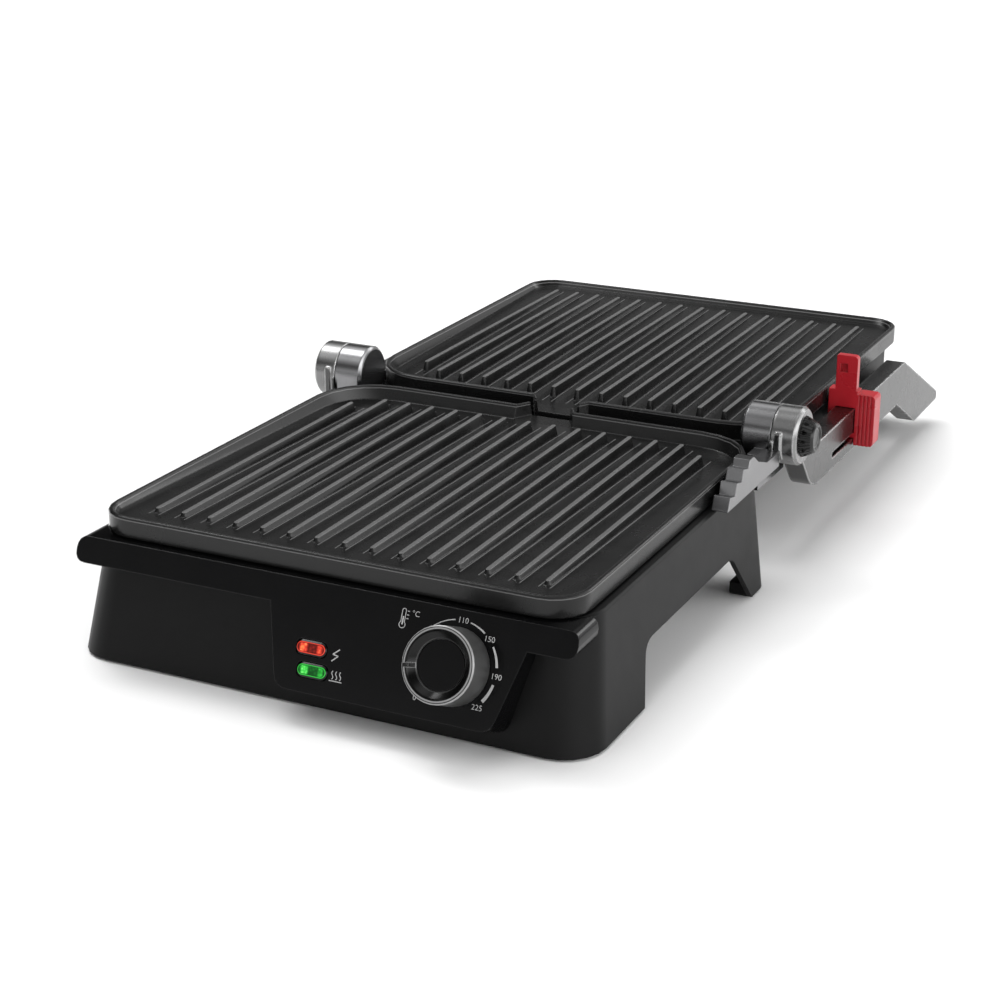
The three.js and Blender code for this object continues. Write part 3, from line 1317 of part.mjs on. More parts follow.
// Red height slider that straddles the right arm
function heightSlider() {
  const front = HINGE_Y + SLIDER_REACH;
  const armTop = RIM_TOP - ARM_DROP;
  const legInner = ARM_INNER_X - GAP - SLIDER_LEG_THICKNESS;
  const blockInner = ARM_OUTER_X + GAP;
  const blockOuter = blockInner + SLIDER_BLOCK_WIDTH;
  const blockTop = RIM_TOP - SLIDER_BLOCK_DROP;
  const tabLeft = ARM_INNER_X - SLIDER_TAB_OVERHANG;
  const bridge = alongY(
    rectangle(legInner, armTop + GAP, blockInner + SLIDER_GROOVE_WIDTH, armTop + SLIDER_BRIDGE_HEIGHT),
    front,
    front + SLIDER_BRIDGE_LENGTH,
  );
  const tab = alongY(
    outline([
      [tabLeft, armTop + GAP],
      [tabLeft + SLIDER_TAB_WIDTH, armTop + GAP],
      [tabLeft + SLIDER_TAB_WIDTH, RIM_TOP + SLIDER_TAB_RISE, SLIDER_TAB_RADIUS],
      [tabLeft, RIM_TOP + SLIDER_TAB_RISE, SLIDER_GROOVE_WIDTH],
    ]),
    front,
    front + SLIDER_TAB_THICKNESS,
  );
  const leg = block(
    [legInner, front, RIM_TOP - SLIDER_LEG_DROP],
    [ARM_INNER_X - GAP, front + SLIDER_BRIDGE_LENGTH, armTop + SLIDER_BRIDGE_HEIGHT],
  );
  const thumb = alongY(
    outline([
      [blockInner, blockTop - SLIDER_BLOCK_HEIGHT, SLIDER_BLOCK_RADIUS / 3],
      [blockOuter, blockTop - SLIDER_BLOCK_HEIGHT, SLIDER_BLOCK_RADIUS],
      [blockOuter, blockTop, SLIDER_BLOCK_RADIUS],
      [blockInner, blockTop, SLIDER_BLOCK_RADIUS / 3],
    ]),
    front,
    front + SLIDER_BLOCK_LENGTH,
  );
  const slotZ = armTop - SLOT_DROP;
  const keyHalf = SLOT_HEIGHT / 2 - GAP;
  const key = block(
    [ARM_OUTER_X - SLIDER_KEY_DEPTH, front, slotZ - keyHalf],
    [blockInner + SLIDER_GROOVE_WIDTH, front + SLIDER_BRIDGE_LENGTH, slotZ + keyHalf],
  );
  let body = joined(bridge, tab, leg, thumb, key);
  const pitch = SLIDER_BLOCK_WIDTH / (SLIDER_GROOVE_COUNT + 1);
  for (let index = 1; index <= SLIDER_GROOVE_COUNT; index += 1) {
    const x = blockInner + index * pitch;
    const half = SLIDER_GROOVE_WIDTH / 2;
    body = body.subtract(block(
      [x - half, front - OVERRUN, blockTop - SLIDER_BLOCK_HEIGHT - OVERRUN],
      [x + half, front + half, blockTop + OVERRUN],
    ));
  }
  const windowLeft = tabLeft + SLIDER_WINDOW_INSET;
  const windowTop = RIM_TOP + SLIDER_TAB_RISE - SLIDER_WINDOW_DROP;
  return body.subtract(block(
    [windowLeft, front - OVERRUN, windowTop - SLIDER_WINDOW_HEIGHT],
    [windowLeft + SLIDER_WINDOW_WIDTH, front + SLIDER_WINDOW_DEPTH, windowTop],
  ));
}

// Fluted push button in the right hub
function releaseButton() {
  const face = BARREL_OUTER_X + BUTTON_PROUD;
  const seat = BARREL_OUTER_X + BUTTON_SHOULDER;
  const profile = [
    [0, BARREL_OUTER_X - BUTTON_DEPTH + BUTTON_SHOULDER],
    [BUTTON_RADIUS, BARREL_OUTER_X - BUTTON_DEPTH + BUTTON_SHOULDER],
    [BUTTON_RADIUS, seat],
    [BUTTON_FACE_RADIUS + BUTTON_SHOULDER, face - BUTTON_SHOULDER],
    [BUTTON_FACE_RADIUS, face],
    [BUTTON_FACE_RADIUS - BUTTON_SHOULDER, face],
    [BUTTON_FACE_RADIUS - 2 * BUTTON_SHOULDER, face - BUTTON_SHOULDER],
    [0, face - BUTTON_SHOULDER],
  ];
  let body = turnedX(profile, HINGE_Y, HINGE_Z);
  for (let index = 0; index < BUTTON_FLUTES; index += 1) {
    const angle = 2 * Math.PI * index / BUTTON_FLUTES;
    const y = HINGE_Y + BUTTON_RADIUS * Math.cos(angle);
    const z = HINGE_Z + BUTTON_RADIUS * Math.sin(angle);
    const flute = rod(BUTTON_FLUTE_RADIUS, seat + GAP, face + OVERRUN);
    body = body.subtract(turnedX(flute, y, z, SMALL_TURN_STEPS / 2));
  }
  return body;
}

function hubCap() {
  const inner = hubRecess() + GAP;
  return turnedX([
    [0, inner],
    [BUTTON_RADIUS, inner],
    [BUTTON_RADIUS, BARREL_OUTER_X],
    [BUTTON_FACE_RADIUS, BARREL_OUTER_X + HUB_CAP_THICKNESS],
    [0, BARREL_OUTER_X + HUB_CAP_THICKNESS],
  ], HINGE_Y, HINGE_Z);
}

// Empty cord gland in the housing's rear wall
function cordGland() {
  const wall = BASE_REAR + GAP;
  const profile = [
    [GLAND_BORE, wall - BASE_WALL - GLAND_FLANGE],
    [GLAND_NECK_RADIUS, wall - BASE_WALL - GLAND_FLANGE],
    [GLAND_NECK_RADIUS, wall],
    [GLAND_RADIUS, wall],
    [GLAND_RADIUS, wall + GLAND_FLANGE],
    [GLAND_NOSE_RADIUS, wall + GLAND_LENGTH],
    [GLAND_BORE, wall + GLAND_LENGTH],
    [GLAND_BORE, wall - BASE_WALL - GLAND_FLANGE],
  ];
  return turnedY(profile, GLAND_X, DECK_TOP - GLAND_DROP, SMALL_TURN_STEPS);
}

function terminalBlock() {
  const z = FOOT_LIFT + COVER_SHEET + GAP;
  const y = FRONT_FOOT_Y - TERMINAL_DEPTH / 2;
  const half = TERMINAL_WIDTH / 2;
  return block([TERMINAL_X - half, y, z], [TERMINAL_X + half, y + TERMINAL_DEPTH, z + TERMINAL_HEIGHT]);
}

// Assembly

function baseGroup() {
  const group = new THREE.Group();
  group.add(piece('base_housing', housing(), blackPlastic));
  group.add(piece('base_bottom_cover', bottomCover(), blackPlastic));
  group.add(piece('front_fascia', fascia(), glossBlack));
  group.add(piece('terminal_block', terminalBlock(), paleThermoplastic));
  group.add(piece('cord_gland', cordGland(), rubber));
  group.add(piece('drip_tray', dripTray(), blackPlastic));
  postPlaces().forEach(([x, y], index) => {
    group.add(piece(`cover_screw_${index + 1}`, coverScrew(x, y), steel));
  });
  group.add(piece('rubber_foot_front_left', frontFoot(-FRONT_FOOT_X), rubber));
  group.add(piece('rubber_foot_front_right', frontFoot(FRONT_FOOT_X), rubber));
  group.add(piece('rubber_foot_rear_left', rearFoot(-1), rubber));
  group.add(piece('rubber_foot_rear_right', rearFoot(1), rubber));
  group.add(piece('hinge_bracket_left', mirrored(hingeBracket()), barrelMetal));
  group.add(piece('hinge_bracket_right', hingeBracket().add(steppedRest()), barrelMetal));
  group.add(piece('hinge_pin_left', mirrored(hingePin()), steel));
  group.add(piece('hinge_pin_right', hingePin(), steel));
  return group;
}

function plateSet(plateName, panName, heaterName) {
  const group = new THREE.Group();
  group.add(piece(plateName, grillPlate(), nonStick));
  const pan = piece(panName, reflectorPan(), reflectorMetal);
  pan.position.z = -PLATE_HEIGHT - GAP - PAN_FLANGE_DROP + PAN_SHEET;
  group.add(pan);
  group.add(piece(heaterName, heatingElement(), heaterSteel));
  return group;
}

function controlsGroup() {
  const group = new THREE.Group();
  group.position.set(0, -FASCIA_TOP_OVERHANG, DECK_TOP);
  group.rotation.x = Math.PI / 2 - FACE_ANGLE;
  group.add(piece('red_indicator_lens', lens(RED_LENS_X, RED_LENS_DROP), redLens));
  group.add(piece('green_indicator_lens', lens(GREEN_LENS_X, GREEN_LENS_DROP), greenLens));
  const dial = new THREE.Group();
  dial.position.set(KNOB_X, -KNOB_DROP, 0);
  dial.add(piece('thermostat', thermostat(), steel));
  dial.add(piece('thermostat_shaft', knobShaft(), steel));
  dial.add(piece('thermostat_knob', knob(), knobGrey));
  dial.add(piece('knob_disc', knobDisc(), glossBlack));
  group.add(dial);
  return group;
}

function lidGroup() {
  const group = new THREE.Group();
  const flipped = new THREE.Group();
  flipped.position.set(0, LID_END, RIM_TOP);
  flipped.rotation.z = Math.PI;
  flipped.add(plateSet('upper_grill_plate', 'upper_reflector_pan', 'upper_heating_element'));
  flipped.add(piece('lid_housing', lidHousing(), blackPlastic));
  group.add(flipped);
  group.add(piece('lid_arm_left', mirrored(lidArm()), castMetal));
  group.add(piece('lid_arm_right', lidArm().subtract(armSlot()), castMetal));
  group.add(piece('lid_pivot_pin_left', mirrored(pivotPin()), steel));
  group.add(piece('lid_pivot_pin_right', pivotPin(), steel));
  group.add(piece('handle_grip', handleGrip(), blackPlastic));
  group.add(piece('handle_screw_left', mirrored(handleScrew()), steel));
  group.add(piece('handle_screw_right', handleScrew(), steel));
  group.add(piece('handle_rest_pad_left', restPad(-1), rubber));
  group.add(piece('handle_rest_pad_right', restPad(1), rubber));
  group.add(piece('hub_cap_left', mirrored(hubCap()), castMetal));
  group.add(piece('height_slider', heightSlider(), redPlastic));
  group.add(piece('release_button', releaseButton(), blackPlastic));
  return group;
}

const grill = new THREE.Group();
const lowerSet = plateSet('lower_grill_plate', 'lower_reflector_pan', 'lower_heating_element');
lowerSet.position.z = RIM_TOP;
grill.add(baseGroup(), lowerSet, controlsGroup(), lidGroup());
grill.updateMatrixWorld(true);
const box = new THREE.Box3().setFromObject(grill, true);
const centre = box.getCenter(new THREE.Vector3());
grill.position.set(-centre.x, -centre.y, -box.min.z);

export default grill;
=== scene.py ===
"""Looks for a countertop contact grill that lies opened flat.

Edges, materials, print on the control face, floor, sky, lights and camera.
"""
import math

import bpy
from mathutils import Matrix, Vector


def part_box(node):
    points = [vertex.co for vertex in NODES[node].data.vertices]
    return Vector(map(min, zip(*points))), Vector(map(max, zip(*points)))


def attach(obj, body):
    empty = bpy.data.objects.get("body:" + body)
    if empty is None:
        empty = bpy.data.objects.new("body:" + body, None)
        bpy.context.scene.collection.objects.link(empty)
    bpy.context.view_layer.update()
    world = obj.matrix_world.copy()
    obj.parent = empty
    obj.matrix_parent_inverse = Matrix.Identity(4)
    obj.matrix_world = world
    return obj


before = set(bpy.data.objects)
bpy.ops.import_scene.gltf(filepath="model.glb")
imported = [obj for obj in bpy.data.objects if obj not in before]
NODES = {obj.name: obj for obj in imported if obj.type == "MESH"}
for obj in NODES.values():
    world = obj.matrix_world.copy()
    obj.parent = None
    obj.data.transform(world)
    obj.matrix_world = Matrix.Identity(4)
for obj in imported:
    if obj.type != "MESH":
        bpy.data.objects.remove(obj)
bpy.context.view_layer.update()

# Lengths are in millimetres and angles in degrees, but where a comment says otherwise
MM = 0.001

# Camera, fitted to the photograph and measured from the lower plate's front edge and rim
CAMERA_LENS = 74.867
SENSOR_WIDTH = 36.0
CAMERA_PLACE = (525.76, -861.0, 403.0)
CAMERA_TARGET = (47.649, 114.803, 0.0)
# In metres
CLIP_END = 60.0

# Control face: a plane that leans back from its top edge
FACE_SETBACK = -5.5
FACE_DROP = -12.5
FACE_LEAN = 25.0
PRINT_LIFT = 0.06

# Dial on the control face
KNOB_PLACE = (86.6, -29.0)
LETTER_SIZE = 4.1
LETTER_DROP = 0.45
LETTER_SMOOTHNESS = 3
NUMBER_RADIUS = 24.1
NUMBERS = [("110", 88.5), ("150", 46), ("190", -1), ("225", -46)]
ZERO_RADIUS = 26.2
ZERO_ANGLE = 226
ARC_RADIUS = 23.7
ARC_STEPS = 10
# Start and end angle, start and end thickness
ARCS = [(150, 99, 0.3, 0.6), (78, 55, 0.6, 0.95), (35, 9, 0.95, 1.35), (-12, -37, 1.35, 1.8)]

# Middles of the two lenses on the control face
RED_LENS_PLACE = (5.0, -34.8)
GREEN_LENS_PLACE = (7.8, -46.2)

# Icons on the control face
BOLT_PLACE = (19.6, -35.8)
BOLT_SHARES = [(0.6, 1.0), (-0.5, 0.1), (0.5, -0.08), (-0.55, -1.0)]
BOLT_SIZE = 3.3
BOLT_STROKE = 0.62
WAVES_PLACE = (22.2, -46.0)
WAVE_HEIGHT = 4.4
WAVE_SWING = 0.55
WAVE_PITCH = 2.3
WAVE_STROKE = 0.45
UNDERLINE_WIDTH = 7.6
UNDERLINE_DROP = 3.0
CURVE_STEPS = 12
THERMOMETER_PLACE = (53.8, -10.1)
THERMOMETER_HEIGHT = 10.0
THERMOMETER_STEM = 1.05
THERMOMETER_BULB = 1.75
ICON_STROKE = 0.4
DEGREE_PLACE = (60.6, -6.9)
TICK_COUNT = 3
TICK_GAP = 1.9
TICK_LENGTH = 1.2


def grill_origin():
    """Middle of the lower plate's front edge, at the height of its rim."""
    low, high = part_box("lower_grill_plate")
    return Vector(((low.x + high.x) / 2, low.y, high.z))


ORIGIN = grill_origin()


def place(point):
    """Point of the shared frame, in metres, from millimetres measured from the grill's origin."""
    return ORIGIN + Vector(point) * MM


def face_matrix():
    """Frame of the control face: x across, y up the face, z out of it, in metres."""
    tilt = Matrix.Rotation(math.radians(90 - FACE_LEAN), 4, "X")
    return Matrix.Translation(place((0, FACE_SETBACK, FACE_DROP))) @ tilt


# Camera


def make_camera():
    data = bpy.data.cameras.new("photo_camera")
    data.lens = CAMERA_LENS
    data.sensor_width = SENSOR_WIDTH
    data.clip_end = CLIP_END
    camera = bpy.data.objects.new("photo_camera", data)
    bpy.context.scene.collection.objects.link(camera)
    camera.location = place(CAMERA_PLACE)
    look = place(CAMERA_TARGET) - camera.location
    camera.rotation_euler = look.to_track_quat("-Z", "Y").to_euler()
    bpy.context.scene.camera = camera


# Edges and smooth shading

SMOOTH_LIMIT = 32
WELD_DISTANCE = 0.02
FLAT_ANGLE = 0.4
BEVEL_ANGLE = 33
BEVEL_SEGMENTS = 3

# Widths of the edges that are rounded on the mesh itself
EDGE_WIDTHS = {
    "base_housing": 0.5,
    "base_bottom_cover": 0.3,
    "front_fascia": 0.45,
    "drip_tray": 0.3,
    "lid_housing": 0.4,
    "lid_arm_left": 0.6,
    "lid_arm_right": 0.6,
    "hinge_bracket_left": 0.5,
    "hinge_bracket_right": 0.45,
    "release_button": 0.2,
    "hub_cap_left": 0.3,
    "thermostat_knob": 0.25,
    "knob_disc": 0.15,
    "handle_grip": 0.3,
    "cord_gland": 0.2,
    "terminal_block": 0.3,
    "red_indicator_lens": 0.15,
    "green_indicator_lens": 0.15,
}


def smooth_group():
    """Geometry nodes that shade smooth everywhere but across edges sharper than the limit."""
    group = bpy.data.node_groups.new("smooth_by_angle", "GeometryNodeTree")
    group.interface.new_socket("Geometry", in_out="INPUT", socket_type="NodeSocketGeometry")
    group.interface.new_socket("Geometry", in_out="OUTPUT", socket_type="NodeSocketGeometry")
    nodes, links = group.nodes, group.links
    start = nodes.new("NodeGroupInput")
    end = nodes.new("NodeGroupOutput")
    faces = nodes.new("GeometryNodeSetShadeSmooth")
    faces.inputs["Shade Smooth"].default_value = True
    edges = nodes.new("GeometryNodeSetShadeSmooth")
    edges.domain = "EDGE"
    edges.inputs["Shade Smooth"].default_value = False
    angle = nodes.new("GeometryNodeInputMeshEdgeAngle")
    sharper = nodes.new("ShaderNodeMath")
    sharper.operation = "GREATER_THAN"
    sharper.inputs[1].default_value = math.radians(SMOOTH_LIMIT)
    links.new(start.outputs[0], faces.inputs["Geometry"])
    links.new(faces.outputs["Geometry"], edges.inputs["Geometry"])
    links.new(angle.outputs["Unsigned Angle"], sharper.inputs[0])
    links.new(sharper.outputs[0], edges.inputs["Selection"])
    links.new(edges.outputs["Geometry"], end.inputs[0])
    return group


def round_edges(piece, width):
    """Merges a piece's flat faces and bevels its sharp edges by a width in millimetres."""
    flat = piece.modifiers.new("merge_flat_faces", "DECIMATE")
    flat.decimate_type = "DISSOLVE"
    flat.angle_limit = math.radians(FLAT_ANGLE)
    bevel = piece.modifiers.new("round_edges", "BEVEL")
    bevel.width = width * MM
    bevel.segments = BEVEL_SEGMENTS
    bevel.limit_method = "ANGLE"
    bevel.angle_limit = math.radians(BEVEL_ANGLE)
    bevel.use_clamp_overlap = True
    bevel.miter_outer = "MITER_ARC"


def soften(piece, width, smooth_shading):
    """Shades a piece's curves smooth, and rounds its sharp edges where it has an edge width."""
    weld = piece.modifiers.new("weld", "WELD")
    weld.merge_threshold = WELD_DISTANCE * MM
    if width:
        round_edges(piece, width)
    smooth = piece.modifiers.new("smooth", "NODES")
    smooth.node_group = smooth_shading
    weights = piece.modifiers.new("weigh_normals", "WEIGHTED_NORMAL")
    weights.keep_sharp = True


# Shader arithmetic


def shader(name):
    """New node material; returns it with its node tree and its surface shader."""
    material = bpy.data.materials.new(name)
    material.use_nodes = True
    tree = material.node_tree
    return material, tree, tree.nodes["Principled BSDF"]


def feed(tree, socket, value):
    """Gives a socket a number, or links it to an output."""
    if isinstance(value, (int, float)):
        socket.default_value = value
    else:
        tree.links.new(value, socket)


def calculate(tree, operation, *values):
    """Result of one piece of arithmetic on outputs and numbers."""
    node = tree.nodes.new("ShaderNodeMath")
    node.operation = operation
    for socket, value in zip(node.inputs, values):
        feed(tree, socket, value)
    return node.outputs[0]


def clamped(tree, value):
    """Value kept between 0 and 1."""
    return calculate(tree, "MINIMUM", calculate(tree, "MAXIMUM", value, 0.0), 1.0)


def between(tree, value, low, high):
    """Share that is 1 where a value lies between two limits."""
    above = calculate(tree, "GREATER_THAN", value, low)
    return calculate(tree, "MULTIPLY", above, calculate(tree, "LESS_THAN", value, high))


def off_by(tree, value, middle):
    """How far a value is from a middle, to either side."""
    return calculate(tree, "ABSOLUTE", calculate(tree, "SUBTRACT", value, middle))


def pick(tree, share, low, high):
    """Value that goes from low at share 0 to high at share 1."""
    node = tree.nodes.new("ShaderNodeMix")
    node.data_type = "FLOAT"
    tree.links.new(share, node.inputs[0])
    feed(tree, node.inputs[2], low)
    feed(tree, node.inputs[3], high)
    return node.outputs[0]


def ramp(tree, source, stops):
    """Colour ramp over a source from (place, grey or colour) stops."""
    node = tree.nodes.new("ShaderNodeValToRGB")
    elements = node.color_ramp.elements
    while len(elements) < len(stops):
        elements.new(0.5)
    for element, (where, value) in zip(elements, stops):
        element.position = where
        rgb = value if isinstance(value, tuple) else (value,) * 3
        element.color = (*rgb, 1.0)
    tree.links.new(source, node.inputs["Fac"])
    return node.outputs["Color"]


def parts_of(tree, vector):
    """Outputs x, y and z of a vector."""
    split = tree.nodes.new("ShaderNodeSeparateXYZ")
    tree.links.new(vector, split.inputs["Vector"])
    return split.outputs["X"], split.outputs["Y"], split.outputs["Z"]


def own_coordinates(tree):
    """The piece's own coordinates, which ride with it."""
    return tree.nodes.new("ShaderNodeTexCoord").outputs["Object"]


def middle_of(name):
    """Middle of a named node's box, in metres."""
    low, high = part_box(name)
    return (low.x + high.x) / 2, (low.y + high.y) / 2, (low.z + high.z) / 2


def distance(tree, across, up):
    """Length of the flat vector (across, up)."""
    square = calculate(tree, "MULTIPLY_ADD", across, across, calculate(tree, "MULTIPLY", up, up))
    return calculate(tree, "SQRT", square)


def axle_distance(tree, y, z, axle):
    """Coordinates y and z measured from the middle line of a named node, and the distance from it."""
    _, middle_y, middle_z = middle_of(axle)
    y = calculate(tree, "SUBTRACT", y, middle_y)
    z = calculate(tree, "SUBTRACT", z, middle_z)
    return y, z, distance(tree, y, z)


def face_coordinates(tree, centre):
    """Outputs across, up and out of the control face, in metres from a point on it."""
    inverse = (face_matrix() @ Matrix.Translation((centre[0] * MM, centre[1] * MM, 0))).inverted()
    turn = tree.nodes.new("ShaderNodeMapping")
    turn.inputs["Location"].default_value = inverse.to_translation()
    turn.inputs["Rotation"].default_value = inverse.to_euler()
    tree.links.new(own_coordinates(tree), turn.inputs["Vector"])
    return parts_of(tree, turn.outputs["Vector"])


# Textures

NOISE = "ShaderNodeTexNoise"
CELLS = "ShaderNodeTexVoronoi"
WAVES = "ShaderNodeTexWave"
EDGE_SAMPLES = 6


def texture(tree, kind, scale, **settings):
    """Texture of a kind on the piece's own coordinates, with features of 1 / scale metres."""
    node = tree.nodes.new(kind)
    node.inputs["Scale"].default_value = scale
    for name, value in settings.items():
        node.inputs[name].default_value = value
    tree.links.new(own_coordinates(tree), node.inputs["Vector"])
    return node


def shaded(color, share):
    """Colour made darker or lighter by a share."""
    return tuple(channel * share for channel in color)


def rounded(tree, radius):
    """Normal that turns gently over every edge and inner corner, as far as a radius in millimetres."""
    node = tree.nodes.new("ShaderNodeBevel")
    node.samples = EDGE_SAMPLES
    node.inputs["Radius"].default_value = radius * MM
    return node.outputs["Normal"]


def grain(tree, scale, detail, depth, strength):
    """Fine noise as a source for bump(), with its depth in millimetres."""
    return texture(tree, NOISE, scale, Detail=detail).outputs["Fac"], depth, strength


def bump(tree, surface, sources, normal=None):
    """Chains bumps from (height output, depth in millimetres, strength)."""
    for height, depth, strength in sources:
        node = tree.nodes.new("ShaderNodeBump")
        node.inputs["Distance"].default_value = depth * MM
        node.inputs["Strength"].default_value = strength
        tree.links.new(height, node.inputs["Height"])
        if normal is not None:
            tree.links.new(normal, node.inputs["Normal"])
        normal = node.outputs["Normal"]
    tree.links.new(normal, surface.inputs["Normal"])


# General finish

MOTTLE_DETAIL = 4.0
MOTTLE_COLOR_SHARES = (0.3, 0.7)
MOTTLE_ROUGHNESS_SHARES = (0.25, 0.75)
GRAIN_DETAIL = 2.0
GRAIN_STRENGTH = 0.6


def finish(name, color, roughness, metallic=0.0, specular=0.5, grain_scale=2500.0, grain_depth=0.02,
           mottle=60.0, mottle_share=0.12, roughness_spread=0.06, edge=0.0):
    """General surface: slow colour and roughness drift over a fine moulded or cast grain."""
    material, tree, surface = shader(name)
    drift = texture(tree, NOISE, mottle, Detail=MOTTLE_DETAIL).outputs["Fac"]
    start, end = MOTTLE_COLOR_SHARES
    tint = [(start, shaded(color, 1 - mottle_share)), (end, shaded(color, 1 + mottle_share))]
    tree.links.new(ramp(tree, drift, tint), surface.inputs["Base Color"])
    start, end = MOTTLE_ROUGHNESS_SHARES
    rough = [(start, roughness - roughness_spread), (end, roughness + roughness_spread)]
    tree.links.new(ramp(tree, drift, rough), surface.inputs["Roughness"])
    surface.inputs["Metallic"].default_value = metallic
    surface.inputs["Specular IOR Level"].default_value = specular
    fine = grain(tree, grain_scale, GRAIN_DETAIL, grain_depth, GRAIN_STRENGTH)
    bump(tree, surface, [fine], rounded(tree, edge) if edge else None)
    return material


PLAIN_FINISHES = {
    "housing": {
        "name": "housing_plastic", "color": (0.0032, 0.0032, 0.0033), "roughness": 0.41, "specular": 0.155,
        "grain_scale": 1800, "grain_depth": 0.03, "roughness_spread": 0.025, "edge": 0.8,
    },
    "gloss": {
        "name": "gloss_plastic", "color": (0.0024, 0.0024, 0.0026), "roughness": 0.14, "specular": 0.23,
        "grain_scale": 500, "grain_depth": 0.004, "roughness_spread": 0.02, "edge": 0.7,
    },
    "reflector": {
        "name": "pressed_aluminium", "color": (0.55, 0.55, 0.56), "roughness": 0.3, "metallic": 1.0,
        "grain_scale": 900,
    },
    "heater": {
        "name": "heater_sheath", "color": (0.12, 0.11, 0.1), "roughness": 0.5, "metallic": 0.8,
        "mottle": 200, "mottle_share": 0.3,
    },
    "rubber": {
        "name": "rubber", "color": (0.015, 0.015, 0.015), "roughness": 0.75, "specular": 0.3,
        "grain_scale": 3000, "grain_depth": 0.04,
    },
    "terminal": {"name": "terminal_plastic", "color": (0.55, 0.52, 0.45), "roughness": 0.55},
    "red": {
        "name": "red_plastic", "color": (0.4, 0.012, 0.02), "roughness": 0.3, "specular": 0.45,
        "grain_scale": 1800, "grain_depth": 0.012, "mottle_share": 0.06, "edge": 0.7,
    },
    "print": {
        "name": "white_print", "color": (0.42, 0.42, 0.42), "roughness": 0.5, "grain_scale": 4000,
        "grain_depth": 0.005,
    },
}


# Non-stick coat of the two plates

COAT_COLOR = (0.007, 0.007, 0.0072)
COAT_ROUGHNESS = 0.25
COAT_SPECULAR = 0.34
COAT_EDGE = 1.2
COAT_DRIFT_SCALE = 45.0
COAT_DRIFT_DETAIL = 5.0
# Place on the drift, and change of roughness there
COAT_DRIFT = [(0.3, -0.04), (0.7, 0.05)]
# Scale, detail, depth and strength
COAT_PEEL = (900.0, 2.0, 0.02, 0.5)
COAT_GRAIN = (4000.0, 1.0, 0.01, 0.5)
FLECK_SCALE = 1500.0
FLECK_REACH_SHARE = 0.16
FLECK_LIGHT_SHARE = 2.2

# Ribs of both plates: painted highlights, a lighter grey on the crests and in lines along the feet
RIB_PITCH = 17.0
RIB_FOOT_HALF = 3.2
CREST_DEPTH = 1.5
CREST_BAND = 0.3
# Greys of the painted highlights on the rib crests and along the ribs' feet
CREST_HIGHLIGHT_GREY = 0.105
FOOT_HIGHLIGHT_BAND = 0.35
FOOT_HIGHLIGHT_GREY = 0.11
# Distances from the middle: start of the outermost ribs, end of all
RIB_SIDE_FROM = 111.0
RIB_SPREAD = 125.0
# Distances from the hinge line: start of the ribs, start of the outermost ribs, end of all
RIB_START = 26.0
RIB_SIDE_START = 40.5
RIB_END = 270.0


def ribbed_area(tree, across, y):
    """Share that is 1 where the plates have ribs; across is the distance from their middle."""
    reach = off_by(tree, y, middle_of("hinge_pin_left")[1])
    outermost = calculate(tree, "GREATER_THAN", across, RIB_SIDE_FROM * MM)
    start = pick(tree, outermost, RIB_START * MM, RIB_SIDE_START * MM)
    inside = calculate(tree, "LESS_THAN", across, RIB_SPREAD * MM)
    return calculate(tree, "MULTIPLY", between(tree, reach, start, RIB_END * MM), inside)


def painted_highlight_shares(tree):
    """Shares of the painted highlights on the rib crests and in lines along the ribs' feet."""
    x, y, z = parts_of(tree, own_coordinates(tree))
    above = calculate(tree, "SUBTRACT", z, place((0, 0, -CREST_DEPTH)).z)
    crest_highlight = calculate(tree, "LESS_THAN", calculate(tree, "ABSOLUTE", above), CREST_BAND * MM)
    across = off_by(tree, x, ORIGIN.x)
    aside = calculate(tree, "PINGPONG", across, RIB_PITCH / 2 * MM)
    line = calculate(tree, "LESS_THAN", off_by(tree, aside, RIB_FOOT_HALF * MM), FOOT_HIGHLIGHT_BAND * MM)
    sunk = calculate(tree, "LESS_THAN", above, -2 * CREST_BAND * MM)
    floor = calculate(tree, "MULTIPLY", ribbed_area(tree, across, y), sunk)
    return crest_highlight, calculate(tree, "MULTIPLY", line, floor)


def nonstick_coat():
    """Charcoal with faint mineral flecks, a slight orange peel, and painted highlights on the rib crests
    and along their feet.
    """
    material, tree, surface = shader("nonstick_coat")
    flecks = texture(tree, CELLS, FLECK_SCALE).outputs["Distance"]
    stops = [(0.0, shaded(COAT_COLOR, FLECK_LIGHT_SHARE)), (FLECK_REACH_SHARE, COAT_COLOR)]
    crest_highlight, foot_highlight = painted_highlight_shares(tree)
    # Painted highlights: lighter grey on the rib crests and in lines along their feet
    grey = pick(tree, crest_highlight, ramp(tree, flecks, stops), CREST_HIGHLIGHT_GREY)
    tree.links.new(pick(tree, foot_highlight, grey, FOOT_HIGHLIGHT_GREY), surface.inputs["Base Color"])
    drift = texture(tree, NOISE, COAT_DRIFT_SCALE, Detail=COAT_DRIFT_DETAIL).outputs["Fac"]
    stops = [(where, COAT_ROUGHNESS + change) for where, change in COAT_DRIFT]
    tree.links.new(ramp(tree, drift, stops), surface.inputs["Roughness"])
    surface.inputs["Specular IOR Level"].default_value = COAT_SPECULAR
    sources = [grain(tree, *COAT_PEEL), grain(tree, *COAT_GRAIN)]
    bump(tree, surface, sources, rounded(tree, COAT_EDGE))
    return material


# Arms

ARM_GREY = 0.094
ARM_TINT_SHARES = (1.0, 1.01, 1.03)
ARM_EDGE = 1.8
ARM_FINISH = {
    "roughness": 0.27, "metallic": 1.0, "grain_scale": 1500, "grain_depth": 0.012, "mottle_share": 0.03,
    "roughness_spread": 0.02, "edge": ARM_EDGE,
}
HUB_REACH = 19.0
HUB_GREY = 0.24
# Painted highlight along the arm's edges: its grey, and how fast it rises from the flat faces
EDGE_HIGHLIGHT_GREY = 0.6
EDGE_HIGHLIGHT_GAIN = 9.0


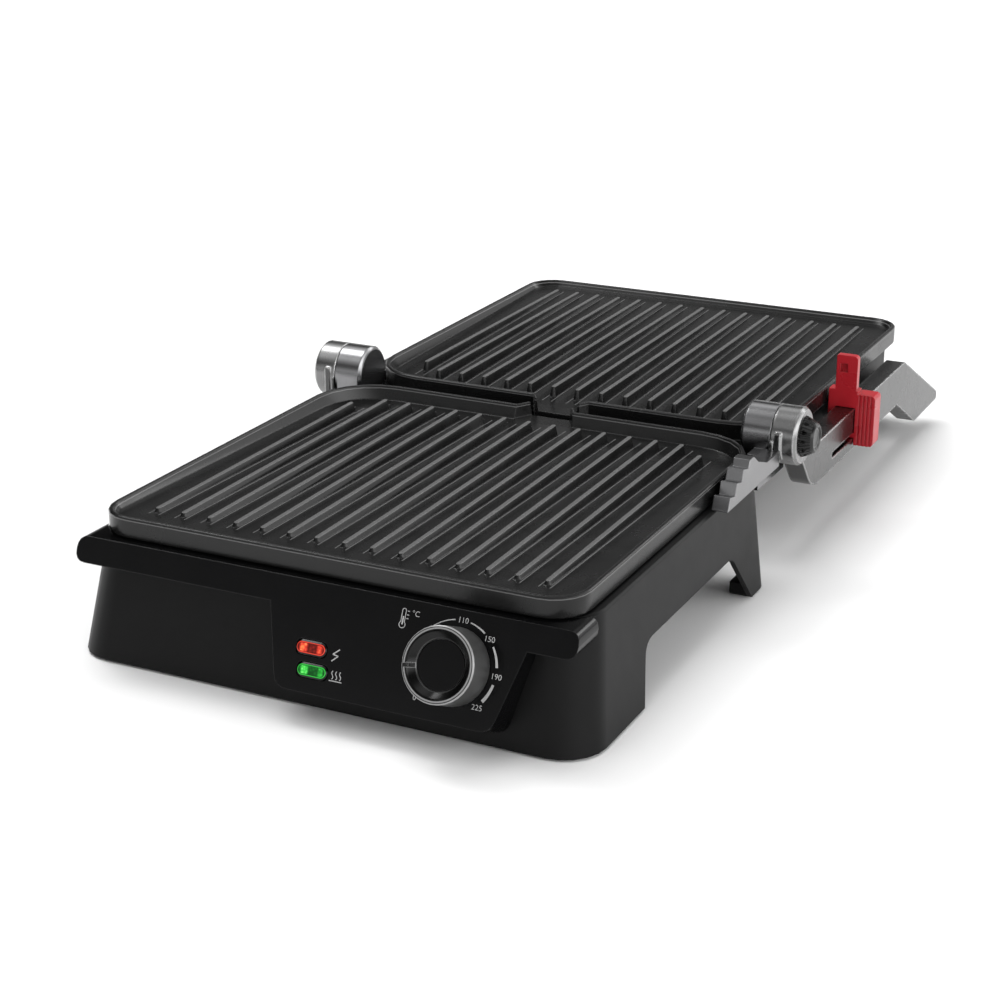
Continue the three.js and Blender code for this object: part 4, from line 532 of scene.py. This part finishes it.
def edge_highlight_share(tree, radius):
    """Share that rises from 0 on flat faces to 1 on the piece's edges, where a highlight is painted."""
    here = tree.nodes.new("ShaderNodeNewGeometry")
    both = tree.nodes.new("ShaderNodeVectorMath")
    both.operation = "DOT_PRODUCT"
    tree.links.new(rounded(tree, radius), both.inputs[0])
    tree.links.new(here.outputs["Normal"], both.inputs[1])
    turned = calculate(tree, "SUBTRACT", 1.0, both.outputs["Value"])
    return clamped(tree, calculate(tree, "MULTIPLY", turned, EDGE_HIGHLIGHT_GAIN))


def arm_metal():
    """Satin cast metal with painted highlights on its edges, and brighter round the hub that is turned
    with its barrel.
    """
    color = tuple(ARM_GREY * share for share in ARM_TINT_SHARES)
    material = finish("cast_aluminium", color, **ARM_FINISH)
    tree = material.node_tree
    base = tree.nodes["Principled BSDF"].inputs["Base Color"]
    _, y, z = parts_of(tree, own_coordinates(tree))
    _, _, radius = axle_distance(tree, y, z, "hinge_pin_left")
    hub = calculate(tree, "LESS_THAN", radius, HUB_REACH * MM)
    plain = pick(tree, hub, base.links[0].from_socket, HUB_GREY)
    # Painted highlight on the edges
    tree.links.new(pick(tree, edge_highlight_share(tree, ARM_EDGE), plain, EDGE_HIGHLIGHT_GREY), base)
    return material


# Turned metal of barrels, pins and screws

LATHE_TINT_SCALE = 90.0
LATHE_TINT_DETAIL = 3.0
# Place on the tint noise, and share of the colour there
LATHE_TINT = [(0.3, 0.95), (0.7, 1.04)]
LATHE_SCALE = 1400.0
LATHE_DISTORTION = 1.5
LATHE_DETAIL = 2.0
# Place on the lathe lines, and change of roughness there
LATHE_ROUGHNESS = [(0.0, -0.02), (1.0, 0.03)]
LATHE_DEPTH = 0.004
LATHE_STRENGTH = 0.35


def turned_metal(name, color, roughness, edge=0.0):
    """Satin metal with fine lathe lines square to the hinge line."""
    material, tree, surface = shader(name)
    drift = texture(tree, NOISE, LATHE_TINT_SCALE, Detail=LATHE_TINT_DETAIL).outputs["Fac"]
    tint = ramp(tree, drift, [(where, shaded(color, share)) for where, share in LATHE_TINT])
    tree.links.new(tint, surface.inputs["Base Color"])
    surface.inputs["Metallic"].default_value = 1.0
    waves = texture(tree, WAVES, LATHE_SCALE, Distortion=LATHE_DISTORTION, Detail=LATHE_DETAIL)
    lines = waves.outputs["Fac"]
    rough = ramp(tree, lines, [(where, roughness + change) for where, change in LATHE_ROUGHNESS])
    tree.links.new(rough, surface.inputs["Roughness"])
    bump(tree, surface, [(lines, LATHE_DEPTH, LATHE_STRENGTH)], rounded(tree, edge) if edge else None)
    return material


# Knob

# Its front from the middle outward: radius, grey, roughness, metal share; the light lines on the dish's
# edge and on the two chamfers are painted highlights
KNOB_FRONT_WITH_HIGHLIGHTS = [
    (12.9, 0.004, 0.16, 0.0),
    (13.2, 0.06, 0.3, 0.5),
    (13.6, 0.06, 0.3, 0.5),
    (13.9, 0.003, 0.2, 0.0),
    (17.8, 0.003, 0.2, 0.0),
    (18.0, 0.3, 0.36, 0.3),
    (18.6, 0.3, 0.36, 0.3),
    (18.8, 0.03, 0.36, 0.5),
    (19.1, 0.03, 0.36, 0.5),
    (19.3, 0.3, 0.36, 0.3),
]
# Grey, roughness and metal share of the skirt
KNOB_SKIRT = (0.2, 0.4, 0.9)
KNOB_SOCKETS = ("Base Color", "Roughness", "Metallic")
KNOB_REACH = 21.0
KNOB_FRONT_FROM = 14.0
KNOB_OUTER_FROM = 18.3
KNOB_DISH_RADIUS = 18.5
KNOB_SPECULAR = 0.25
KNOB_GRAIN = (2600.0, 2.0, 0.006, 0.4)
POINTER_ANGLE = 190
POINTER_REACH = (13.4, 17.6)
POINTER_HALF = 1.4
POINTER_GREY = 0.12


def knob_front_share(tree, radius, out):
    """Share that is 1 on the knob's front ring and inside its dish."""
    above = calculate(tree, "GREATER_THAN", out, KNOB_OUTER_FROM * MM)
    dish = calculate(tree, "LESS_THAN", radius, KNOB_DISH_RADIUS * MM)
    deep = calculate(tree, "GREATER_THAN", out, KNOB_FRONT_FROM * MM)
    return calculate(tree, "MAXIMUM", above, calculate(tree, "MULTIPLY", dish, deep))


def pointer_share(tree, across, up):
    """Share of the short light line that points to the setting."""
    cos = math.cos(math.radians(POINTER_ANGLE))
    sin = math.sin(math.radians(POINTER_ANGLE))
    along = calculate(tree, "MULTIPLY_ADD", across, cos, calculate(tree, "MULTIPLY", up, sin))
    beside = calculate(tree, "MULTIPLY_ADD", up, cos, calculate(tree, "MULTIPLY", across, -sin))
    narrow = calculate(tree, "LESS_THAN", calculate(tree, "ABSOLUTE", beside), POINTER_HALF * MM)
    start, end = POINTER_REACH
    return calculate(tree, "MULTIPLY", narrow, between(tree, along, start * MM, end * MM))


def knob_metal():
    """Grey skirt, two chamfers with painted highlights and a dark ring between them, a painted highlight
    on the dish's edge, a dark dish, a light pointer.
    """
    material, tree, surface = shader("knob_metal")
    across, up, out = face_coordinates(tree, KNOB_PLACE)
    radius = distance(tree, across, up)
    share = calculate(tree, "DIVIDE", radius, KNOB_REACH * MM)
    front = knob_front_share(tree, radius, out)
    pointer = pointer_share(tree, across, up)
    for column, (name, skirt) in enumerate(zip(KNOB_SOCKETS, KNOB_SKIRT), start=1):
        # Rings of the front, with painted highlights on the chamfers and the dish's edge
        stops = [(stop[0] / KNOB_REACH, stop[column]) for stop in KNOB_FRONT_WITH_HIGHLIGHTS]
        value = pick(tree, front, skirt, ramp(tree, share, stops))
        if name == "Base Color":
            value = pick(tree, pointer, value, POINTER_GREY)
        tree.links.new(value, surface.inputs[name])
    surface.inputs["Specular IOR Level"].default_value = KNOB_SPECULAR
    bump(tree, surface, [grain(tree, *KNOB_GRAIN)])
    return material


# Indicator lenses

LENS_HALF_LENGTH = 8.6
LENS_HALF_HEIGHT = 3.1
LENS_RIM = 0.6
LENS_GROOVE = 1.1
LENS_FADE = 0.35
LENS_BORDER = (0.003, 0.003, 0.003)
LENS_ROUGHNESS = 0.2
LENS_SPECULAR = 0.25
LENS_RIM_LIGHT = 0.7
LENS_GROOVE_LIGHT = 0.6
LENS_BETWEEN = 0.34
# Middle, half-width and brightness of each lit field along the lens
LAMPS = [(-4.3, 1.5, 1.0), (5.4, 0.8, 0.85)]
LAMP_FADE = 2.2
RIPPLE_SCALE = 620.0
RIPPLE_LIGHT = -0.45
RIPPLE_DEPTH = 0.05
RIPPLE_STRENGTH = 0.4

RED_LENS_COLOR = (0.1, 0.006, 0.004)
RED_STOPS = [
    (0.0, (0.0, 0.0, 0.0)),
    (0.12, (0.05, 0.003, 0.002)),
    (0.4, (0.3, 0.014, 0.01)),
    (0.7, (0.85, 0.07, 0.035)),
    (0.9, (1.0, 0.3, 0.09)),
    (1.0, (1.0, 0.6, 0.25)),
]
GREEN_LENS_COLOR = (0.004, 0.07, 0.01)
GREEN_STOPS = [
    (0.0, (0.0, 0.0, 0.0)),
    (0.12, (0.002, 0.03, 0.004)),
    (0.4, (0.008, 0.16, 0.015)),
    (0.7, (0.04, 0.56, 0.06)),
    (0.9, (0.16, 0.9, 0.16)),
    (1.0, (0.4, 1.0, 0.38)),
]


def lens_inset(tree, across, up):
    """How far inside the lens's capsule outline a point is, in metres."""
    straight = (LENS_HALF_LENGTH - LENS_HALF_HEIGHT) * MM
    past = calculate(tree, "SUBTRACT", calculate(tree, "ABSOLUTE", across), straight)
    beyond = calculate(tree, "MAXIMUM", past, 0.0)
    return calculate(tree, "SUBTRACT", LENS_HALF_HEIGHT * MM, distance(tree, beyond, up))


def lamp_level(tree, across):
    """Brightness along the lens: two lit fields that fade into a dim middle."""
    level = LENS_BETWEEN
    for middle, half, brightness in LAMPS:
        left = calculate(tree, "SUBTRACT", (half + LAMP_FADE) * MM, off_by(tree, across, middle * MM))
        fall = clamped(tree, calculate(tree, "DIVIDE", left, LAMP_FADE * MM))
        level = calculate(tree, "MAXIMUM", calculate(tree, "MULTIPLY", fall, brightness), level)
    return level


def lit_lens(name, color, stops, centre):
    """Lit lens: two bright fields with a dim one between them, a bright thin rim and a black border."""
    material, tree, surface = shader(name)
    across, up, _ = face_coordinates(tree, centre)
    inset = lens_inset(tree, across, up)
    lit = clamped(tree, calculate(tree, "DIVIDE", inset, LENS_FADE * MM))
    ripple = texture(tree, CELLS, RIPPLE_SCALE).outputs["Distance"]
    broken = calculate(tree, "MULTIPLY_ADD", ripple, RIPPLE_LIGHT, lamp_level(tree, across))
    groove = calculate(tree, "LESS_THAN", inset, LENS_GROOVE * MM)
    broken = pick(tree, groove, broken, calculate(tree, "MULTIPLY", broken, LENS_GROOVE_LIGHT))
    rim = calculate(tree, "LESS_THAN", inset, LENS_RIM * MM)
    shown = calculate(tree, "MAXIMUM", broken, calculate(tree, "MULTIPLY", rim, LENS_RIM_LIGHT))
    light = ramp(tree, calculate(tree, "MULTIPLY", shown, lit), stops)
    tree.links.new(light, surface.inputs["Emission Color"])
    surface.inputs["Emission Strength"].default_value = 1.0
    body = ramp(tree, lit, [(0.0, LENS_BORDER), (1.0, color)])
    tree.links.new(body, surface.inputs["Base Color"])
    surface.inputs["Roughness"].default_value = LENS_ROUGHNESS
    surface.inputs["Specular IOR Level"].default_value = LENS_SPECULAR
    bump(tree, surface, [(ripple, RIPPLE_DEPTH, RIPPLE_STRENGTH)])
    return material


# Release button

BUTTON_GREY = 0.004
BUTTON_ROUGHNESS = 0.3
BUTTON_GRAIN = (1800.0, 2.0, 0.01, 0.5)
BUTTON_FLUTES = 28
BUTTON_FLUTE_DEPTH = 0.9
# Its face from the middle outward: radius and grey
BUTTON_FACE = [(4.2, 0.02), (4.5, 0.006), (5.2, 0.006), (5.4, 0.14), (6.1, 0.14), (6.3, 0.003)]
BUTTON_REACH = 13.0
BUTTON_FACE_DEPTH = 1.6


def fluted_plastic():
    """Near-black push button: fine flutes round its side and a light ring on its face."""
    material, tree, surface = shader("button_plastic")
    x, y, z = parts_of(tree, own_coordinates(tree))
    y, z, radius = axle_distance(tree, y, z, "release_button")
    face_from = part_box("release_button")[1].x - BUTTON_FACE_DEPTH * MM
    face = calculate(tree, "GREATER_THAN", x, face_from)
    share = calculate(tree, "DIVIDE", radius, BUTTON_REACH * MM)
    stops = [(ring / BUTTON_REACH, shade) for ring, shade in BUTTON_FACE]
    grey = pick(tree, face, BUTTON_GREY, ramp(tree, share, stops))
    tree.links.new(grey, surface.inputs["Base Color"])
    surface.inputs["Roughness"].default_value = BUTTON_ROUGHNESS
    angle = calculate(tree, "ARCTAN2", z, y)
    wave = calculate(tree, "SINE", calculate(tree, "MULTIPLY", angle, BUTTON_FLUTES))
    wave = calculate(tree, "MULTIPLY", wave, calculate(tree, "SUBTRACT", 1.0, face))
    bump(tree, surface, [(wave, BUTTON_FLUTE_DEPTH, 1.0), grain(tree, *BUTTON_GRAIN)])
    return material


# Materials of the nodes

BARREL_COLOR = (0.24, 0.24, 0.245)
BARREL_ROUGHNESS = 0.24
BARREL_EDGE = 0.8
STEEL_COLOR = (0.45, 0.45, 0.46)
STEEL_ROUGHNESS = 0.3

NODE_FINISHES = {
    "housing": ["base_housing", "base_bottom_cover", "drip_tray", "lid_housing", "handle_grip"],
    "gloss": ["front_fascia", "knob_disc"],
    "nonstick": ["lower_grill_plate", "upper_grill_plate"],
    "barrel": ["hinge_bracket_left", "hinge_bracket_right"],
    "arm": ["lid_arm_left", "lid_arm_right", "hub_cap_left"],
    "steel": [
        "hinge_pin_left", "hinge_pin_right", "lid_pivot_pin_left", "lid_pivot_pin_right",
        "handle_screw_left", "handle_screw_right", "cover_screw_1", "cover_screw_2", "cover_screw_3",
        "cover_screw_4", "thermostat", "thermostat_shaft",
    ],
    "reflector": ["lower_reflector_pan", "upper_reflector_pan"],
    "heater": ["lower_heating_element", "upper_heating_element"],
    "rubber": [
        "rubber_foot_front_left", "rubber_foot_front_right", "rubber_foot_rear_left",
        "rubber_foot_rear_right", "handle_rest_pad_left", "handle_rest_pad_right", "cord_gland",
    ],
    "terminal": ["terminal_block"],
    "red": ["height_slider"],
    "button": ["release_button"],
    "knob": ["thermostat_knob"],
    "red_lens": ["red_indicator_lens"],
    "green_lens": ["green_indicator_lens"],
}


def make_materials():
    materials = {key: finish(**settings) for key, settings in PLAIN_FINISHES.items()}
    materials["nonstick"] = nonstick_coat()
    materials["barrel"] = turned_metal("satin_nickel", BARREL_COLOR, BARREL_ROUGHNESS, BARREL_EDGE)
    materials["steel"] = turned_metal("machined_steel", STEEL_COLOR, STEEL_ROUGHNESS)
    materials["arm"] = arm_metal()
    materials["button"] = fluted_plastic()
    materials["knob"] = knob_metal()
    materials["red_lens"] = lit_lens("red_lens", RED_LENS_COLOR, RED_STOPS, RED_LENS_PLACE)
    materials["green_lens"] = lit_lens("green_lens", GREEN_LENS_COLOR, GREEN_STOPS, GREEN_LENS_PLACE)
    return materials


def dress_nodes(materials):
    smooth_shading = smooth_group()
    for finish_name, names in NODE_FINISHES.items():
        for name in names:
            node = NODES[name]
            node.data.materials.clear()
            node.data.materials.append(materials[finish_name])
            soften(node, EDGE_WIDTHS.get(name, 0), smooth_shading)


# Print on the control face, drawn in millimetres on the face's own plane


class Drawing:
    """Flat polygons on the control face, gathered into one mesh."""

    def __init__(self):
        self.points = []
        self.faces = []

    def polygon(self, corners):
        start = len(self.points)
        self.points += [(x, y, PRINT_LIFT) for x, y in corners]
        self.faces.append(list(range(start, start + len(corners))))

    def strip(self, left, right):
        """Band between two lists of points."""
        for i in range(len(left) - 1):
            self.polygon([left[i], left[i + 1], right[i + 1], right[i]])

    def stroke(self, line, width):
        """Line of even width through a list of points."""
        half = width / 2
        left, right = [], []
        for i, (x, y) in enumerate(line):
            before = line[max(i - 1, 0)]
            after = line[min(i + 1, len(line) - 1)]
            dx, dy = after[0] - before[0], after[1] - before[1]
            length = math.hypot(dx, dy)
            nx, ny = -dy / length * half, dx / length * half
            left.append((x + nx, y + ny))
            right.append((x - nx, y - ny))
        self.strip(left, right)

    def text(self, words, x, y):
        """Plain lettering centred on a point."""
        curve = bpy.data.curves.new("lettering", "FONT")
        curve.body = words
        curve.size = LETTER_SIZE
        curve.align_x = "CENTER"
        curve.align_y = "CENTER"
        curve.resolution_u = LETTER_SMOOTHNESS
        letters = bpy.data.objects.new("lettering", curve)
        mesh = letters.to_mesh()
        start = len(self.points)
        self.points += [(x + v.co.x, y + v.co.y, PRINT_LIFT) for v in mesh.vertices]
        self.faces += [[start + i for i in face.vertices] for face in mesh.polygons]
        letters.to_mesh_clear()
        bpy.data.objects.remove(letters)

    def piece(self, name, material, body, slot):
        mesh = bpy.data.meshes.new(name)
        mesh.from_pydata([Vector(p) * MM for p in self.points], [], self.faces)
        mesh.transform(face_matrix())
        mesh.materials.append(material)
        drawn = bpy.data.objects.new(name, mesh)
        bpy.context.scene.collection.objects.link(drawn)
        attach(drawn, body)


def on_circle(centre, radius, angle):
    """Point of a circle at an angle in radians."""
    return centre[0] + radius * math.cos(angle), centre[1] + radius * math.sin(angle)


def curve_shares():
    """Even steps from 0 to 1 along a drawn curve."""
    return [step / CURVE_STEPS for step in range(CURVE_STEPS + 1)]


def draw_number(drawing, words, radius, degrees):
    x, y = on_circle(KNOB_PLACE, radius, math.radians(degrees))
    drawing.text(words, x, y - LETTER_DROP)


def draw_dial(drawing):
    """Numbers round the knob, and arcs between them that grow thicker with the heat."""
    for words, angle in NUMBERS:
        draw_number(drawing, words, NUMBER_RADIUS, angle)
    draw_number(drawing, "0", ZERO_RADIUS, ZERO_ANGLE)
    for start, end, thin, thick in ARCS:
        inner, outer = [], []
        for step in range(ARC_STEPS + 1):
            share = step / ARC_STEPS
            angle = math.radians(start + (end - start) * share)
            half = (thin + (thick - thin) * share) / 2
            inner.append(on_circle(KNOB_PLACE, ARC_RADIUS - half, angle))
            outer.append(on_circle(KNOB_PLACE, ARC_RADIUS + half, angle))
        drawing.strip(inner, outer)


def draw_bolt(drawing):
    """Mains sign beside the red lens."""
    x, y = BOLT_PLACE
    line = [(x + BOLT_SIZE * u, y + BOLT_SIZE * v) for u, v in BOLT_SHARES]
    for start, end in zip(line, line[1:]):
        drawing.stroke([start, end], BOLT_STROKE)


def draw_heat(drawing):
    """Three waves over a line, beside the green lens."""
    x, y = WAVES_PLACE
    for column in (-1, 0, 1):
        line = []
        for share in curve_shares():
            swing = WAVE_SWING * math.sin(2 * math.pi * share)
            line.append((x + column * WAVE_PITCH + swing, y - WAVE_HEIGHT / 2 + WAVE_HEIGHT * share))
        drawing.stroke(line, WAVE_STROKE)
    half = UNDERLINE_WIDTH / 2
    drawing.stroke([(x - half, y - UNDERLINE_DROP), (x + half, y - UNDERLINE_DROP)], WAVE_STROKE)


def draw_thermometer(drawing):
    """Outline of stem and bulb, a column inside, ticks beside it and the sign of the degree."""
    x, y = THERMOMETER_PLACE
    top = y + THERMOMETER_HEIGHT / 2
    stem_end = (x, top - THERMOMETER_STEM)
    bulb = (x, y - THERMOMETER_HEIGHT / 2 + THERMOMETER_BULB)
    mouth = math.asin(THERMOMETER_STEM / THERMOMETER_BULB)
    line = [on_circle(stem_end, THERMOMETER_STEM, math.pi * share) for share in curve_shares()]
    for share in curve_shares():
        angle = math.pi / 2 + mouth + (2 * math.pi - 2 * mouth) * share
        line.append(on_circle(bulb, THERMOMETER_BULB, angle))
    line.append(line[0])
    drawing.stroke(line, ICON_STROKE)
    drawing.stroke([bulb, (x, y + THERMOMETER_STEM)], ICON_STROKE * 2)
    left = x + THERMOMETER_STEM + ICON_STROKE * 2
    for row in range(TICK_COUNT):
        height = stem_end[1] - row * TICK_GAP
        drawing.stroke([(left, height), (left + TICK_LENGTH, height)], ICON_STROKE)
    drawing.text("°C", *DEGREE_PLACE)


def make_print(materials):
    drawing = Drawing()
    draw_dial(drawing)
    draw_bolt(drawing)
    draw_heat(drawing)
    draw_thermometer(drawing)
    drawing.piece("control_print", materials["print"], "base", "steel")


# Floor, its side in metres

FLOOR_SIZE = 24.0
FLOOR_COLOR = (0.86, 0.86, 0.86, 1.0)


def make_floor():
    mesh = bpy.data.meshes.new("floor")
    half = FLOOR_SIZE / 2
    corners = [(-half, -half, 0), (half, -half, 0), (half, half, 0), (-half, half, 0)]
    mesh.from_pydata(corners, [], [(0, 1, 2, 3)])
    floor = bpy.data.objects.new("floor", mesh)
    bpy.context.scene.collection.objects.link(floor)
    material, _, surface = shader("studio_floor")
    surface.inputs["Base Color"].default_value = FLOOR_COLOR
    surface.inputs["Roughness"].default_value = 1.0
    surface.inputs["Specular IOR Level"].default_value = 0.0
    mesh.materials.append(material)


# Sky: heights from straight down (-1) over the horizon (0) to straight up (1)

SKY_HEIGHTS = [-1.0, 0.0, 0.17, 0.34, 0.5, 0.64, 0.77, 0.9, 1.0]
# Brightness at those heights of each quarter of the studio
SKY_FRONT = [0.02, 0.02, 1.43, 0.45, 0.0, 0.97, 0.0, 0.17, 1.31]
SKY_BACK = [0.55, 0.55, 0.66, 0.0, 0.0, 1.32, 1.32, 0.17, 1.31]
SKY_LEFT = [0.0, 0.0, 0.0, 0.0, 0.0, 0.0, 2.97, 0.17, 1.31]
SKY_RIGHT = [0.2, 0.2, 3.0, 5.0, 3.44, 0.0, 0.0, 0.17, 1.31]
SKY_PEAK = 8.0
SMALLEST = 0.000001
WHITE = (1.0, 1.0, 1.0, 1.0)


def sky_quarter(tree, rise, levels):
    """Brightness of one quarter over the height, as a share of the peak."""
    stops = [((height + 1) / 2, level / SKY_PEAK) for height, level in zip(SKY_HEIGHTS, levels)]
    return ramp(tree, rise, stops)


def studio_light(tree):
    """Brightness of the studio in every direction, from four quarters that blend into each other."""
    x, y, z = parts_of(tree, tree.nodes.new("ShaderNodeTexCoord").outputs["Generated"])
    rise = calculate(tree, "MULTIPLY_ADD", z, 0.5, 0.5)
    level = calculate(tree, "MAXIMUM", calculate(tree, "POWER", distance(tree, x, y), 2.0), SMALLEST)
    depth = calculate(tree, "DIVIDE", calculate(tree, "MULTIPLY", y, y), level)
    back = calculate(tree, "GREATER_THAN", y, 0.0)
    right = calculate(tree, "GREATER_THAN", x, 0.0)
    ahead = pick(tree, back, sky_quarter(tree, rise, SKY_FRONT), sky_quarter(tree, rise, SKY_BACK))
    aside = pick(tree, right, sky_quarter(tree, rise, SKY_LEFT), sky_quarter(tree, rise, SKY_RIGHT))
    return pick(tree, depth, aside, ahead)


def make_sky():
    """White where it is seen directly or through glass; for everything else the studio."""
    world = bpy.data.worlds.new("studio")
    bpy.context.scene.world = world
    world.use_nodes = True
    tree = world.node_tree
    nodes, links = tree.nodes, tree.links
    nodes.clear()
    studio = nodes.new("ShaderNodeBackground")
    studio.inputs["Strength"].default_value = SKY_PEAK
    links.new(studio_light(tree), studio.inputs["Color"])
    white = nodes.new("ShaderNodeBackground")
    white.inputs["Color"].default_value = WHITE
    path = nodes.new("ShaderNodeLightPath")
    seen = calculate(tree, "MAXIMUM", path.outputs["Is Camera Ray"], path.outputs["Is Transmission Ray"])
    mix = nodes.new("ShaderNodeMixShader")
    output = nodes.new("ShaderNodeOutputWorld")
    links.new(seen, mix.inputs["Fac"])
    links.new(studio.outputs["Background"], mix.inputs[1])
    links.new(white.outputs["Background"], mix.inputs[2])
    links.new(mix.outputs["Shader"], output.inputs["Surface"])


# Lights

SUNS = [
    # azimuth, elevation, strength, angular width
    (-140.0, 70.0, 0.925, 36.0),
    (-20.0, 65.0, 0.548, 36.0),
]
SOFTBOXES = [
    # name, place, target, width and height in metres, power, seen by sheen only
    ("left_softbox", (-760, 480, 1200), (-140, 290, 0), 0.5, 0.6, 6, False),
    ("back_softbox", (980, 2170, 1000), (0, 250, 0), 0.9, 0.5, 5, True),
]


def direction(azimuth, elevation):
    """Unit vector towards a light; azimuth 0 is the front, counter-clockwise from above."""
    turn, lift = math.radians(azimuth), math.radians(elevation)
    level = math.cos(lift)
    return Vector((math.sin(turn) * level, -math.cos(turn) * level, math.sin(lift)))


def make_suns():
    for index, (azimuth, elevation, strength, width) in enumerate(SUNS, start=1):
        data = bpy.data.lights.new(f"sun_{index}", "SUN")
        data.energy = strength
        data.angle = math.radians(width)
        sun = bpy.data.objects.new(data.name, data)
        sun.visible_glossy = False
        bpy.context.scene.collection.objects.link(sun)
        sun.rotation_euler = direction(azimuth, elevation).to_track_quat("Z", "Y").to_euler()


def make_softboxes():
    for name, spot, target, width, height, power, sheen_only in SOFTBOXES:
        data = bpy.data.lights.new(name, "AREA")
        data.shape = "RECTANGLE"
        data.size = width
        data.size_y = height
        data.energy = power
        box = bpy.data.objects.new(name, data)
        bpy.context.scene.collection.objects.link(box)
        box.visible_diffuse = not sheen_only
        box.location = place(spot)
        aim = place(target) - box.location
        box.rotation_euler = aim.to_track_quat("-Z", "Y").to_euler()


def build_scene():
    materials = make_materials()
    make_camera()
    dress_nodes(materials)
    make_print(materials)
    make_floor()
    make_sky()
    make_suns()
    make_softboxes()
    bpy.context.scene.view_settings.view_transform = "Standard"


build_scene()
